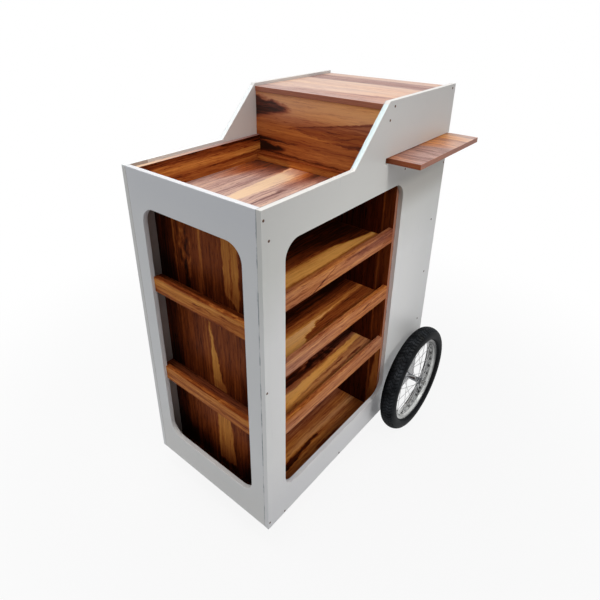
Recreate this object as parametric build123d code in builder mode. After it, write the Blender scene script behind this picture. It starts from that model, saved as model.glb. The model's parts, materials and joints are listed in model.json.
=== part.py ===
from build123d import *

import os
from math import cos, radians, sin

# Vending cart: a body of 15 mm laminated boards on two spoked wheels and two swivel casters.
# It has a front niche, a shelved side bay, an open rear bay, a sunk counter tray, a raised top
# and a board that slides out of a slot in the right panel.
# Millimetres. X points to the cart's right, Y from front to back, Z up. The origin is on the
# floor, in the middle of the overall box. Boards are placed by their distance from the front
# face and their height over the body's bottom.

# Body
BODY_WIDTH = 500
BODY_LENGTH = 906
BOARD = 15
GROUND_GAP = 90
RIM_HEIGHT = 1021
TOP_HEIGHT = 1172
SLANT_FOOT = 349
SLANT_HEAD = 499
WINDOW_RADIUS = 50
WINDOW_LOW = 102
WINDOW_HIGH = 920
FRONT_WINDOW_WIDTH = 372
SIDE_WINDOW_START = 78
SIDE_WINDOW_END = 630

# Inner boards
NICHE_BACK = 71
REAR_DIVIDER = 617
DECK_TOP = 930
RISER_FRONT = 501
TOP_SINK = 9
LIP_HEIGHT = 48
FRONT_LIP_SETBACK = 9
FRONT_SHELVES = {"lower": 330, "upper": 653}
SIDE_SHELVES = {"lower": 300, "middle": 509, "upper": 718}
REAR_SHELF_SETBACK = 6
LINER_TOP = 1012
REAR_STRIP_HEIGHT = 25

# Sliding board
SLIDE_BOTTOM = 1002
SLIDE_START = 517
SLIDE_END = 905
SLIDE_LENGTH = 470
SLIDE_OUT = 98
SLIDE_TRAVEL = 150
SLOT_START = 503
SLOT_LOW = 1001
SLOT_HIGH = 1019
REAR_RUNNER = 876
GUIDE_GAP = 0.5
STOP_LENGTH = 40
STOP_WIDTH = 60
STOP_DROP = 18

# Axle
AXLE_FROM_FRONT = 758
AXLE_RADIUS = 5
AXLE_END = 368
AXLE_CHAMFER = 1
AXLE_TIP = 3
RUNNING_FIT = 0.05
NUT_ACROSS_FLATS = 17
NUT_HEIGHT = 8
PANEL_WASHER_RADIUS = 15
END_WASHER_RADIUS = 11
WASHER_THICKNESS = 2
CONE_RADIUS = 8.5
AXLE_PLATE_SIZE = 80
AXLE_PLATE_THICKNESS = 4
AXLE_PLATE_CORNER = 8

# Wheels
WHEEL_RADIUS = 205
WHEEL_PLANE = 310
TYRE_HALF_WIDTH = 29
TYRE_WALL = 3.5
TREAD_THICKNESS = 6
TREAD_HALF_WIDTH = 23
TREAD_EDGE_RADIUS = 197
TREAD_CROWN_DROP = 1.8
SIDEWALL_RADIUS = 179
BEAD_FOOT_RADIUS = 154.2
BEAD_GAP = 0.3
RIM_RADIUS = 162
RIM_HALF_WIDTH = 18.5
RIM_WALL = 1.8
RIM_WELL_TOP = 153
RIM_SLOPE_HALF_WIDTH = 13
RIM_SLOPE_RADIUS = 149.5
RIM_BED_HALF_WIDTH = 8
RIM_BED_RADIUS = 147
SPOKES_PER_FLANGE = 14
SPOKE_RADIUS = 1
SPOKE_HOLE_RADIUS = 1.3
SPOKE_HOLE_CIRCLE = 17
SPOKE_SEAT_OFFSET = 3
SPOKE_HEAD_RADIUS = 1.9
SPOKE_HEAD_HEIGHT = 1.2
NIPPLE_LENGTH = 11
NIPPLE_RADIUS = 2
VALVE_PLACE = -4.5
VALVE_NUT_ACROSS_FLATS = 11
VALVE_NUT_HEIGHT = 3
VALVE_STEM_RADIUS = 3
VALVE_CAP_START = 20
VALVE_CAP_RADIUS = 4.2
VALVE_CAP_LENGTH = 11
VALVE_CAP_ROUND = 1.5
FLANGE_OFFSET = 28
FLANGE_THICKNESS = 3
FLANGE_RADIUS = 20
BARREL_RADIUS = 10.5
BARREL_HALF_LENGTH = 18
HUB_HALF_LENGTH = 38
HUB_END_RADIUS = 14
HUB_BORE = 5.6
HUB_END_GAP = 0.3
BEARING_RADIUS = 11
BEARING_WIDTH = 9
BEARING_FIT = 0.02

# Casters
CASTER_SIDE = 165
CASTER_FROM_FRONT = 103
CASTER_RADIUS = 31.5
CASTER_WIDTH = 20
CASTER_EDGE = 4
CASTER_TRAIL = 26
CASTER_PLATE_SIZE = 64
CASTER_PLATE_THICKNESS = 3
CASTER_PLATE_CORNER = 6
CASTER_BOLT_SPACING = 46
CASTER_BOLT_RADIUS = 2.5
RACE_RADIUS = 17
RACE_HEIGHT = 5
KING_PIN_RADIUS = 5
KING_PIN_HEAD_RADIUS = 8
KING_PIN_HEAD_HEIGHT = 4
SWIVEL_GAP = 0.3
FORK_WALL = 3
FORK_GAP = 24
CROWN_LENGTH = 36
LEG_FOOT_RADIUS = 9
PIN_RADIUS = 4
PIN_HEAD_ACROSS_FLATS = 13
PIN_HEAD_HEIGHT = 5
CORE_HUB_RADIUS = 8
CORE_HUB_LENGTH = 23.4
CORE_WEB_WIDTH = 8
CORE_RIM_WIDTH = 18
CORE_RIM_RADIUS = 21
TREAD_INNER_RADIUS = 24.5

# Worked out from the values above
SIDES = {"left": -1, "right": 1}
OVERALL_LENGTH = AXLE_FROM_FRONT + WHEEL_RADIUS
INNER = BODY_WIDTH / 2 - BOARD
LINER_INNER = INNER - BOARD
DECK_BOTTOM = DECK_TOP - BOARD
TOP_PANEL_TOP = TOP_HEIGHT - TOP_SINK
TOP_PANEL_BOTTOM = TOP_PANEL_TOP - BOARD
WINDOW_HEIGHT = WINDOW_HIGH - WINDOW_LOW
WINDOW_MIDDLE = (WINDOW_LOW + WINDOW_HIGH) / 2
FRONT_LIP_BACK = FRONT_LIP_SETBACK + BOARD
FRONT_LIP_HALF = FRONT_WINDOW_WIDTH / 2
SIDE_BAY_START = NICHE_BACK + BOARD
REAR_BAY_START = REAR_DIVIDER + BOARD
REAR_SHELF_END = BODY_LENGTH - REAR_SHELF_SETBACK
SLIDE_TOP = SLIDE_BOTTOM + BOARD
SLIDE_TIP = BODY_WIDTH / 2 + SLIDE_OUT
STOP_TIP = INNER - SLIDE_TRAVEL - GUIDE_GAP
STOP_START = (REAR_BAY_START + REAR_RUNNER - STOP_WIDTH) / 2
GUIDE_LOW = SLIDE_TOP + GUIDE_GAP
BORE = AXLE_RADIUS + RUNNING_FIT
SPOKE_PITCH = 360 / SPOKES_PER_FLANGE


def along(distance):
    """Y of a distance from the front face."""
    return distance - OVERALL_LENGTH / 2


def above(height):
    """Z of a height over the body's bottom."""
    return GROUND_GAP + height


AXLE_Y = along(AXLE_FROM_FRONT)
AXLE_Z = WHEEL_RADIUS


def save(piece, label):
    """Label a finished piece and write it."""
    piece.part.label = label
    export_step(piece.part, f"parts/{label}.step")


def board(label, x_low, x_high, start, end, low, high):
    """A plain board between two X, two distances from the front and two heights."""
    with BuildPart() as piece:
        with BuildSketch(Plane.XY.offset(above(low))):
            with Locations(((x_low + x_high) / 2, along((start + end) / 2))):
                Rectangle(x_high - x_low, end - start)
        extrude(amount=high - low)
    save(piece, label)


def side_panel(label, x_low, open_side):
    """A side panel: rim in front, slope up to the raised top, and the axle's hole.

    The open side also has the window and a slot that runs out at the back edge.
    """
    corners = [
        (0, 0),
        (BODY_LENGTH, 0),
        (BODY_LENGTH, TOP_HEIGHT),
        (SLANT_HEAD, TOP_HEIGHT),
        (SLANT_FOOT, RIM_HEIGHT),
        (0, RIM_HEIGHT),
    ]
    with BuildPart() as piece:
        with BuildSketch(Plane.YZ.offset(x_low)):
            with BuildLine():
                Polyline([(along(distance), above(height)) for distance, height in corners], close=True)
            make_face()
            with Locations((AXLE_Y, AXLE_Z)):
                Circle(BORE, mode=Mode.SUBTRACT)
            if open_side:
                window_width = SIDE_WINDOW_END - SIDE_WINDOW_START
                with Locations((along((SIDE_WINDOW_START + SIDE_WINDOW_END) / 2), above(WINDOW_MIDDLE))):
                    RectangleRounded(window_width, WINDOW_HEIGHT, WINDOW_RADIUS, mode=Mode.SUBTRACT)
                slot_middle = (SLOT_LOW + SLOT_HIGH) / 2
                with Locations((along((SLOT_START + BODY_LENGTH) / 2), above(slot_middle))):
                    Rectangle(BODY_LENGTH - SLOT_START, SLOT_HIGH - SLOT_LOW, mode=Mode.SUBTRACT)
        extrude(amount=BOARD)
    save(piece, label)


def rings(label, spans):
    """Plain rings on the axle, each between two X, with its own radius."""
    with BuildPart() as piece:
        for x_low, x_high, radius in spans:
            with BuildSketch(Plane.YZ.offset(x_low)):
                with Locations((AXLE_Y, AXLE_Z)):
                    Circle(radius)
                    Circle(BORE, mode=Mode.SUBTRACT)
            extrude(amount=x_high - x_low)
    save(piece, label)


def nuts(label, spans):
    """Hexagon nuts on the axle, each between two X."""
    with BuildPart() as piece:
        for x_low, x_high in spans:
            with BuildSketch(Plane.YZ.offset(x_low)):
                with Locations((AXLE_Y, AXLE_Z)):
                    RegularPolygon(NUT_ACROSS_FLATS / 2, 6, major_radius=False)
                    Circle(BORE, mode=Mode.SUBTRACT)
            extrude(amount=x_high - x_low)
    save(piece, label)


def both_sides(spans):
    """Each span of X on the right, and its mirror on the left. What follows the two X is kept."""
    return [span for low, high, *rest in spans for span in ((low, high, *rest), (-high, -low, *rest))]


os.makedirs("parts", exist_ok=True)

# Side panels: the left one is closed.
side_panel("left_side_panel", -BODY_WIDTH / 2, open_side=False)
side_panel("right_side_panel", INNER, open_side=True)

# Front panel, set between the side panels, with its tall window.
with BuildPart() as front_panel:
    with BuildSketch(Plane.XZ.offset(-along(BOARD))):
        with Locations((0, above(RIM_HEIGHT / 2))):
            Rectangle(2 * INNER, RIM_HEIGHT)
        with Locations((0, above(WINDOW_MIDDLE))):
            RectangleRounded(FRONT_WINDOW_WIDTH, WINDOW_HEIGHT, WINDOW_RADIUS, mode=Mode.SUBTRACT)
    extrude(amount=BOARD)
save(front_panel, "front_panel")

# Bottom, deck, dividers, riser and raised top, all between the side panels.
board("bottom_panel", -INNER, INNER, BOARD, BODY_LENGTH, 0, BOARD)
board("deck_panel", -INNER, INNER, BOARD, BODY_LENGTH, DECK_BOTTOM, DECK_TOP)
board("front_niche_back", -INNER, INNER, NICHE_BACK, SIDE_BAY_START, BOARD, DECK_BOTTOM)
board("rear_divider", -INNER, INNER, REAR_DIVIDER, REAR_BAY_START, BOARD, DECK_BOTTOM)
board("riser_panel", -INNER, INNER, RISER_FRONT, RISER_FRONT + BOARD, DECK_TOP, TOP_PANEL_BOTTOM)
board("top_panel", -INNER, INNER, SLANT_HEAD, BODY_LENGTH, TOP_PANEL_BOTTOM, TOP_PANEL_TOP)

# Front niche: two shallow shelves, each behind a lip that stands in the window.
for name, low in FRONT_SHELVES.items():
    lip_top = low + LIP_HEIGHT
    board(f"front_shelf_{name}", -INNER, INNER, FRONT_LIP_BACK, NICHE_BACK, low, low + BOARD)
    board(
        f"front_lip_{name}",
        -FRONT_LIP_HALF,
        FRONT_LIP_HALF,
        FRONT_LIP_SETBACK,
        FRONT_LIP_BACK,
        low,
        lip_top,
    )

# Side bay: three deep shelves with lips behind the right panel. Rear bay: shelves level with them.
for name, low in SIDE_SHELVES.items():
    top = low + BOARD
    lip_top = low + LIP_HEIGHT
    board(f"side_shelf_{name}", -INNER, LINER_INNER, SIDE_BAY_START, REAR_DIVIDER, low, top)
    board(f"side_lip_{name}", LINER_INNER, INNER, SIDE_BAY_START, REAR_DIVIDER, low, lip_top)
    board(f"rear_shelf_{name}", -INNER, INNER, REAR_BAY_START, REAR_SHELF_END, low, top)

# Counter tray: liners inside the rim and a low strip at the foot of the riser.
STRIP_TOP = DECK_TOP + REAR_STRIP_HEIGHT
STRIP_START = RISER_FRONT - BOARD
board("tray_liner_left", -INNER, -LINER_INNER, BOARD, RISER_FRONT, DECK_TOP, LINER_TOP)
board("tray_liner_right", LINER_INNER, INNER, BOARD, RISER_FRONT, DECK_TOP, LINER_TOP)
board("tray_liner_front", -LINER_INNER, LINER_INNER, BOARD, 2 * BOARD, DECK_TOP, LINER_TOP)
board("tray_rear_strip", -LINER_INNER, LINER_INNER, STRIP_START, RISER_FRONT, DECK_TOP, STRIP_TOP)

# Sliding board on two runners, held down by a strip behind the riser, with a stop block under it.
GUIDE_START = RISER_FRONT + BOARD
GUIDE_END = GUIDE_START + BOARD
RUNNER_END = REAR_RUNNER + BOARD
STOP_END = STOP_START + STOP_WIDTH
STOP_LOW = SLIDE_BOTTOM - STOP_DROP
SLIDE_INNER_END = SLIDE_TIP - SLIDE_LENGTH
board("board_runner_front", -INNER, INNER, REAR_DIVIDER, REAR_BAY_START, DECK_TOP, SLIDE_BOTTOM)
board("board_runner_rear", -INNER, INNER, REAR_RUNNER, RUNNER_END, DECK_TOP, SLIDE_BOTTOM)
board("board_guide_strip", -INNER, INNER, GUIDE_START, GUIDE_END, GUIDE_LOW, GUIDE_LOW + BOARD)
board("slide_board", SLIDE_INNER_END, SLIDE_TIP, SLIDE_START, SLIDE_END, SLIDE_BOTTOM, SLIDE_TOP)
board(
    "slide_board_stop",
    STOP_TIP - STOP_LENGTH,
    STOP_TIP,
    STOP_START,
    STOP_END,
    STOP_LOW,
    SLIDE_BOTTOM,
)

# Axle: a rod right across, clamped to each side panel through a steel plate.
with BuildPart() as axle_rod:
    with BuildSketch(Plane.YZ.offset(-AXLE_END)):
        with Locations((AXLE_Y, AXLE_Z)):
            Circle(AXLE_RADIUS)
    extrude(amount=2 * AXLE_END)
    chamfer(axle_rod.edges().filter_by(GeomType.CIRCLE), AXLE_CHAMFER)
save(axle_rod, "axle_rod")

PLATE_FACE = INNER - AXLE_PLATE_THICKNESS
with BuildPart() as axle_plates:
    for x_low in (-INNER, PLATE_FACE):
        with BuildSketch(Plane.YZ.offset(x_low)):
            with Locations((AXLE_Y, AXLE_Z)):
                RectangleRounded(AXLE_PLATE_SIZE, AXLE_PLATE_SIZE, AXLE_PLATE_CORNER)
                Circle(BORE, mode=Mode.SUBTRACT)
        extrude(amount=AXLE_PLATE_THICKNESS)
save(axle_plates, "axle_plates")

# Clamped on the axle, outwards from the panel: washer, nut, cone, the hub, cone, washer, nut.
PANEL_FACE = BODY_WIDTH / 2
PANEL_NUT = PANEL_FACE + WASHER_THICKNESS
CONE_START = PANEL_NUT + NUT_HEIGHT
HUB_INSIDE = WHEEL_PLANE - HUB_HALF_LENGTH - HUB_END_GAP
HUB_OUTSIDE = WHEEL_PLANE + HUB_HALF_LENGTH + HUB_END_GAP
END_NUT_TOP = AXLE_END - AXLE_TIP
END_NUT = END_NUT_TOP - NUT_HEIGHT
END_WASHER = END_NUT - WASHER_THICKNESS

nuts(
    "axle_nuts",
    both_sides(
        [(PLATE_FACE - NUT_HEIGHT, PLATE_FACE), (PANEL_NUT, CONE_START), (END_NUT, END_NUT_TOP)]
    ),
)
rings(
    "axle_washers",
    both_sides(
        [(PANEL_FACE, PANEL_NUT, PANEL_WASHER_RADIUS), (END_WASHER, END_NUT, END_WASHER_RADIUS)]
    ),
)
rings(
    "axle_cones",
    both_sides([(CONE_START, HUB_INSIDE, CONE_RADIUS), (HUB_OUTSIDE, END_WASHER, CONE_RADIUS)]),
)


# Wheels. A profile is drawn as distance from the wheel's plane and radius, one half, and mirrored.
def wheel_plane(sign):
    """The plane of a wheel's profile: its first axis is along the axle, its second upwards."""
    return Plane(origin=(sign * WHEEL_PLANE, AXLE_Y, AXLE_Z), x_dir=(1, 0, 0), z_dir=(0, -1, 0))


def wheel_axis(sign):
    """The line that a wheel turns about."""
    return Axis((sign * WHEEL_PLANE, AXLE_Y, AXLE_Z), (1, 0, 0))


def wheel_point(sign, outward, radius, angle):
    """A point on a wheel, from its distance to the wheel's plane, its radius and its angle."""
    return Vector(
        sign * WHEEL_PLANE + outward,
        AXLE_Y + radius * cos(radians(angle)),
        AXLE_Z + radius * sin(radians(angle)),
    )


def flange_start_angle(flange):
    """The first spoke hole's angle: one flange is turned by half a pitch against the other."""
    return SPOKE_PITCH / 2 if flange > 0 else 0


def lacing(sign):
    """Each spoke's head, elbow, nipple end and seat on the rim bed, in a two-cross pattern.

    Neighbours in a flange lean opposite ways. One stands outside the flange and clears its edge,
    the next stands inside it.
    """
    for flange in (-1, 1):
        for hole in range(SPOKES_PER_FLANGE):
            lean = 1 if hole % 2 else -1
            hub_angle = flange_start_angle(flange) + hole * SPOKE_PITCH
            rim_angle = hub_angle + lean * 2 * SPOKE_PITCH
            edge_clearance = SPOKE_RADIUS if lean > 0 else 0
            head_depth = FLANGE_THICKNESS / 2 + RUNNING_FIT + SPOKE_HEAD_HEIGHT
            elbow_depth = FLANGE_THICKNESS / 2 + RUNNING_FIT + SPOKE_RADIUS + edge_clearance
            head_x = flange * (FLANGE_OFFSET - lean * head_depth)
            elbow_x = flange * (FLANGE_OFFSET + lean * elbow_depth)
            head = wheel_point(sign, head_x, SPOKE_HOLE_CIRCLE, hub_angle)
            elbow = wheel_point(sign, elbow_x, SPOKE_HOLE_CIRCLE, hub_angle)
            seat = wheel_point(sign, flange * SPOKE_SEAT_OFFSET, RIM_BED_RADIUS, rim_angle)
            nipple_end = seat - (seat - elbow).normalized() * NIPPLE_LENGTH
            yield head, elbow, nipple_end, seat


for side, sign in SIDES.items():
    with BuildPart() as tyre:
        with BuildSketch(wheel_plane(sign)):
            bead = RIM_HALF_WIDTH - RIM_WALL - BEAD_GAP
            bead_inside = bead - TYRE_WALL
            tread_edge = (TREAD_HALF_WIDTH, TREAD_EDGE_RADIUS)
            tread_middle = (TREAD_HALF_WIDTH / 2, WHEEL_RADIUS - TREAD_CROWN_DROP)
            sidewall_inside = (TYRE_HALF_WIDTH - TYRE_WALL, SIDEWALL_RADIUS)
            with BuildLine():
                Line((bead_inside, BEAD_FOOT_RADIUS), (bead, BEAD_FOOT_RADIUS))
                Line((bead, BEAD_FOOT_RADIUS), (bead, RIM_RADIUS))
                ThreePointArc((bead, RIM_RADIUS), (TYRE_HALF_WIDTH, SIDEWALL_RADIUS), tread_edge)
                ThreePointArc(tread_edge, tread_middle, (0, WHEEL_RADIUS))
                Line((0, WHEEL_RADIUS), (0, WHEEL_RADIUS - TREAD_THICKNESS))
                ThreePointArc(
                    (0, WHEEL_RADIUS - TREAD_THICKNESS), sidewall_inside, (bead_inside, RIM_RADIUS)
                )
                Line((bead_inside, RIM_RADIUS), (bead_inside, BEAD_FOOT_RADIUS))
            make_face()
            mirror(about=Plane.YZ)
        revolve(axis=wheel_axis(sign))
    save(tyre, f"tyre_{side}")

    with BuildPart() as rim:
        with BuildSketch(wheel_plane(sign)):
            with BuildLine():
                Polyline(
                    (0, RIM_BED_RADIUS),
                    (RIM_BED_HALF_WIDTH, RIM_BED_RADIUS),
                    (RIM_SLOPE_HALF_WIDTH, RIM_SLOPE_RADIUS),
                    (RIM_HALF_WIDTH, RIM_WELL_TOP),
                    (RIM_HALF_WIDTH, RIM_RADIUS),
                    (RIM_HALF_WIDTH - RIM_WALL, RIM_RADIUS),
                    (RIM_HALF_WIDTH - RIM_WALL, RIM_WELL_TOP + RIM_WALL / 2),
                    (RIM_SLOPE_HALF_WIDTH - RIM_WALL / 2, RIM_SLOPE_RADIUS + RIM_WALL),
                    (RIM_BED_HALF_WIDTH, RIM_BED_RADIUS + RIM_WALL),
                    (0, RIM_BED_RADIUS + RIM_WALL),
                    close=True,
                )
            make_face()
            mirror(about=Plane.YZ)
        revolve(axis=wheel_axis(sign))
    save(rim, f"rim_{side}")

    with BuildPart() as spokes:
        for head, elbow, nipple_end, seat in lacing(sign):
            with BuildLine() as spoke_path:
                Polyline(head, elbow, nipple_end)
            with BuildSketch(Plane(origin=head, z_dir=elbow - head)):
                Circle(SPOKE_RADIUS)
            sweep(path=spoke_path.wire(), transition=Transition.RIGHT)
            with BuildSketch(Plane(origin=head, z_dir=elbow - head)):
                Circle(SPOKE_HEAD_RADIUS)
            extrude(amount=SPOKE_HEAD_HEIGHT)
    save(spokes, f"spokes_{side}")

    with BuildPart() as nipples:
        for head, elbow, nipple_end, seat in lacing(sign):
            with BuildSketch(Plane(origin=nipple_end, z_dir=seat - nipple_end)):
                RegularPolygon(NIPPLE_RADIUS, 6)
            extrude(amount=NIPPLE_LENGTH + NIPPLE_RADIUS)
        with BuildSketch(Plane.YZ.offset(sign * WHEEL_PLANE - RIM_HALF_WIDTH)):
            with Locations((AXLE_Y, AXLE_Z)):
                Circle(RIM_BED_RADIUS)
        extrude(amount=2 * RIM_HALF_WIDTH, mode=Mode.INTERSECT)
    save(nipples, f"nipples_{side}")

    with BuildPart() as valve:
        valve_angle = VALVE_PLACE * SPOKE_PITCH / 2
        valve_foot = wheel_point(sign, 0, RIM_BED_RADIUS, valve_angle)
        inward = wheel_point(sign, 0, 0, 0) - valve_foot
        with BuildSketch(Plane(origin=valve_foot, z_dir=inward)):
            RegularPolygon(VALVE_NUT_ACROSS_FLATS / 2, 6, major_radius=False)
        extrude(amount=VALVE_NUT_HEIGHT)
        with BuildSketch(Plane(origin=valve_foot, z_dir=inward)):
            Circle(VALVE_STEM_RADIUS)
        extrude(amount=VALVE_CAP_START)
        with BuildSketch(Plane(origin=valve_foot + inward.normalized() * VALVE_CAP_START, z_dir=inward)):
            Circle(VALVE_CAP_RADIUS)
        extrude(amount=VALVE_CAP_LENGTH)
        round_edges = valve.edges().filter_by(GeomType.CIRCLE)
        fillet(round_edges.sort_by(Axis(valve_foot, inward))[-1], VALVE_CAP_ROUND)
        with BuildSketch(Plane.YZ.offset(sign * WHEEL_PLANE - RIM_HALF_WIDTH)):
            with Locations((AXLE_Y, AXLE_Z)):
                Circle(RIM_BED_RADIUS)
        extrude(amount=2 * RIM_HALF_WIDTH, mode=Mode.INTERSECT)
    save(valve, f"valve_{side}")

    with BuildPart() as hub:
        with BuildSketch(wheel_plane(sign)):
            flange_in = FLANGE_OFFSET - FLANGE_THICKNESS / 2
            flange_out = FLANGE_OFFSET + FLANGE_THICKNESS / 2
            bearing_in = HUB_HALF_LENGTH - BEARING_WIDTH
            with BuildLine():
                Polyline(
                    (0, HUB_BORE),
                    (0, BARREL_RADIUS),
                    (BARREL_HALF_LENGTH, BARREL_RADIUS),
                    (flange_in, HUB_END_RADIUS),
                    (flange_in, FLANGE_RADIUS),
                    (flange_out, FLANGE_RADIUS),
                    (flange_out, HUB_END_RADIUS),
                    (HUB_HALF_LENGTH, HUB_END_RADIUS),
                    (HUB_HALF_LENGTH, BEARING_RADIUS),
                    (bearing_in, BEARING_RADIUS),
                    (bearing_in, HUB_BORE),
                    close=True,
                )
            make_face()
            mirror(about=Plane.YZ)
        revolve(axis=wheel_axis(sign))
        for flange in (-1, 1):
            with BuildSketch(Plane.YZ.offset(sign * WHEEL_PLANE + flange * FLANGE_OFFSET)):
                with Locations((AXLE_Y, AXLE_Z)):
                    with PolarLocations(SPOKE_HOLE_CIRCLE, SPOKES_PER_FLANGE, flange_start_angle(flange)):
                        Circle(SPOKE_HOLE_RADIUS)
            extrude(amount=FLANGE_THICKNESS, both=True, mode=Mode.SUBTRACT)
    save(hub, f"hub_{side}")

    bearing_spans = both_sides([(HUB_HALF_LENGTH - BEARING_WIDTH, HUB_HALF_LENGTH)])
    rings(
        f"hub_bearings_{side}",
        [
            (sign * WHEEL_PLANE + low, sign * WHEEL_PLANE + high, BEARING_RADIUS - BEARING_FIT)
            for low, high in bearing_spans
        ],
    )

# Casters: plate with race and king pin, fork that swivels on the pin, wheel on a bolt in the fork.
PLATE_LOW = GROUND_GAP - CASTER_PLATE_THICKNESS
RACE_LOW = PLATE_LOW - RACE_HEIGHT
CROWN_TOP = RACE_LOW - SWIVEL_GAP
CROWN_LOW = CROWN_TOP - FORK_WALL
PIN_HEAD_TOP = CROWN_LOW - SWIVEL_GAP
CASTER_Y = along(CASTER_FROM_FRONT)
CASTER_WHEEL_Y = CASTER_Y + CASTER_TRAIL
LEG_INSIDE = FORK_GAP / 2
LEG_OUTSIDE = LEG_INSIDE + FORK_WALL

for side, sign in SIDES.items():
    caster_x = sign * CASTER_SIDE
    pivot = (caster_x, CASTER_Y)
    caster_plane = Plane(
        origin=(caster_x, CASTER_WHEEL_Y, CASTER_RADIUS), x_dir=(1, 0, 0), z_dir=(0, -1, 0)
    )
    caster_axis = Axis((caster_x, CASTER_WHEEL_Y, CASTER_RADIUS), (1, 0, 0))

    with BuildPart() as caster_plate:
        with BuildSketch(Plane.XY.offset(PLATE_LOW)):
            with Locations(pivot):
                RectangleRounded(CASTER_PLATE_SIZE, CASTER_PLATE_SIZE, CASTER_PLATE_CORNER)
                with GridLocations(CASTER_BOLT_SPACING, CASTER_BOLT_SPACING, 2, 2):
                    Circle(CASTER_BOLT_RADIUS, mode=Mode.SUBTRACT)
        extrude(amount=CASTER_PLATE_THICKNESS)
        with BuildSketch(Plane.XY.offset(RACE_LOW)):
            with Locations(pivot):
                Circle(RACE_RADIUS)
        extrude(amount=RACE_HEIGHT)
        with BuildSketch(Plane.XY.offset(PIN_HEAD_TOP)):
            with Locations(pivot):
                Circle(KING_PIN_RADIUS)
        extrude(amount=RACE_LOW - PIN_HEAD_TOP)
        with BuildSketch(Plane.XY.offset(PIN_HEAD_TOP - KING_PIN_HEAD_HEIGHT)):
            with Locations(pivot):
                Circle(KING_PIN_HEAD_RADIUS)
        extrude(amount=KING_PIN_HEAD_HEIGHT)
    save(caster_plate, f"caster_plate_{side}")

    with BuildPart() as caster_fork:
        with BuildSketch(Plane.XY.offset(CROWN_LOW)):
            with Locations(pivot):
                Rectangle(2 * LEG_OUTSIDE, CROWN_LENGTH)
                Circle(KING_PIN_RADIUS + RUNNING_FIT, mode=Mode.SUBTRACT)
        extrude(amount=FORK_WALL)
        for x_leg in (caster_x - LEG_OUTSIDE, caster_x + LEG_INSIDE):
            with BuildSketch(Plane.YZ.offset(x_leg)):
                with Locations((CASTER_Y, CROWN_LOW + FORK_WALL / 2)):
                    Rectangle(CROWN_LENGTH, FORK_WALL)
                with Locations((CASTER_WHEEL_Y, CASTER_RADIUS)):
                    Circle(LEG_FOOT_RADIUS)
                make_hull()
                with Locations((CASTER_WHEEL_Y, CASTER_RADIUS)):
                    Circle(PIN_RADIUS + RUNNING_FIT, mode=Mode.SUBTRACT)
            extrude(amount=FORK_WALL)
    save(caster_fork, f"caster_fork_{side}")

    with BuildPart() as caster_axle:
        with BuildSketch(Plane.YZ.offset(caster_x - LEG_OUTSIDE)):
            with Locations((CASTER_WHEEL_Y, CASTER_RADIUS)):
                Circle(PIN_RADIUS)
        extrude(amount=2 * LEG_OUTSIDE)
        for x_head in (caster_x - LEG_OUTSIDE - PIN_HEAD_HEIGHT, caster_x + LEG_OUTSIDE):
            with BuildSketch(Plane.YZ.offset(x_head)):
                with Locations((CASTER_WHEEL_Y, CASTER_RADIUS)):
                    RegularPolygon(PIN_HEAD_ACROSS_FLATS / 2, 6, major_radius=False)
            extrude(amount=PIN_HEAD_HEIGHT)
    save(caster_axle, f"caster_axle_{side}")

    with BuildPart() as caster_core:
        with BuildSketch(caster_plane):
            with BuildLine():
                Polyline(
                    (0, PIN_RADIUS + RUNNING_FIT),
                    (CORE_HUB_LENGTH / 2, PIN_RADIUS + RUNNING_FIT),
                    (CORE_HUB_LENGTH / 2, CORE_HUB_RADIUS),
                    (CORE_WEB_WIDTH / 2, CORE_HUB_RADIUS),
                    (CORE_WEB_WIDTH / 2, CORE_RIM_RADIUS),
                    (CORE_RIM_WIDTH / 2, CORE_RIM_RADIUS),
                    (CORE_RIM_WIDTH / 2, TREAD_INNER_RADIUS),
                    (0, TREAD_INNER_RADIUS),
                    close=True,
                )
            make_face()
            mirror(about=Plane.YZ)
        revolve(axis=caster_axis)
    save(caster_core, f"caster_core_{side}")

    with BuildPart() as caster_tread:
        with BuildSketch(caster_plane):
            with Locations((0, (TREAD_INNER_RADIUS + CASTER_RADIUS) / 2)):
                tread_section = Rectangle(CASTER_WIDTH, CASTER_RADIUS - TREAD_INNER_RADIUS)
            fillet(tread_section.vertices().group_by(Axis.Y)[-1], CASTER_EDGE)
        revolve(axis=caster_axis)
    save(caster_tread, f"caster_tread_{side}")
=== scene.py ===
import json
import math
from dataclasses import dataclass

import bmesh
import bpy
from mathutils import Matrix, Vector


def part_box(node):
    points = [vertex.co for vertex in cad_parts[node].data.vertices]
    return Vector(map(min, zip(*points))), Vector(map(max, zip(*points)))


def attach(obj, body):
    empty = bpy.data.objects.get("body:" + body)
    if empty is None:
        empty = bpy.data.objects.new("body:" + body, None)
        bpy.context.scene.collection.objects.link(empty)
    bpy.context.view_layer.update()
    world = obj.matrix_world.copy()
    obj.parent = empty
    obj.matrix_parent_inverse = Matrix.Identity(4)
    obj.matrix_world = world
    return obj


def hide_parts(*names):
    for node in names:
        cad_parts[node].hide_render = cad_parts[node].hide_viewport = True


# The vending cart's finish around its frame: eased laminated boards, screws, treaded tyres, bright
# rims, steel and rubber, with a studio, lamps and a camera. Metres, in the frame's own axes: X to
# the cart's right, Y from front to back, Z up. A size in millimetres is multiplied by MM.

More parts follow.
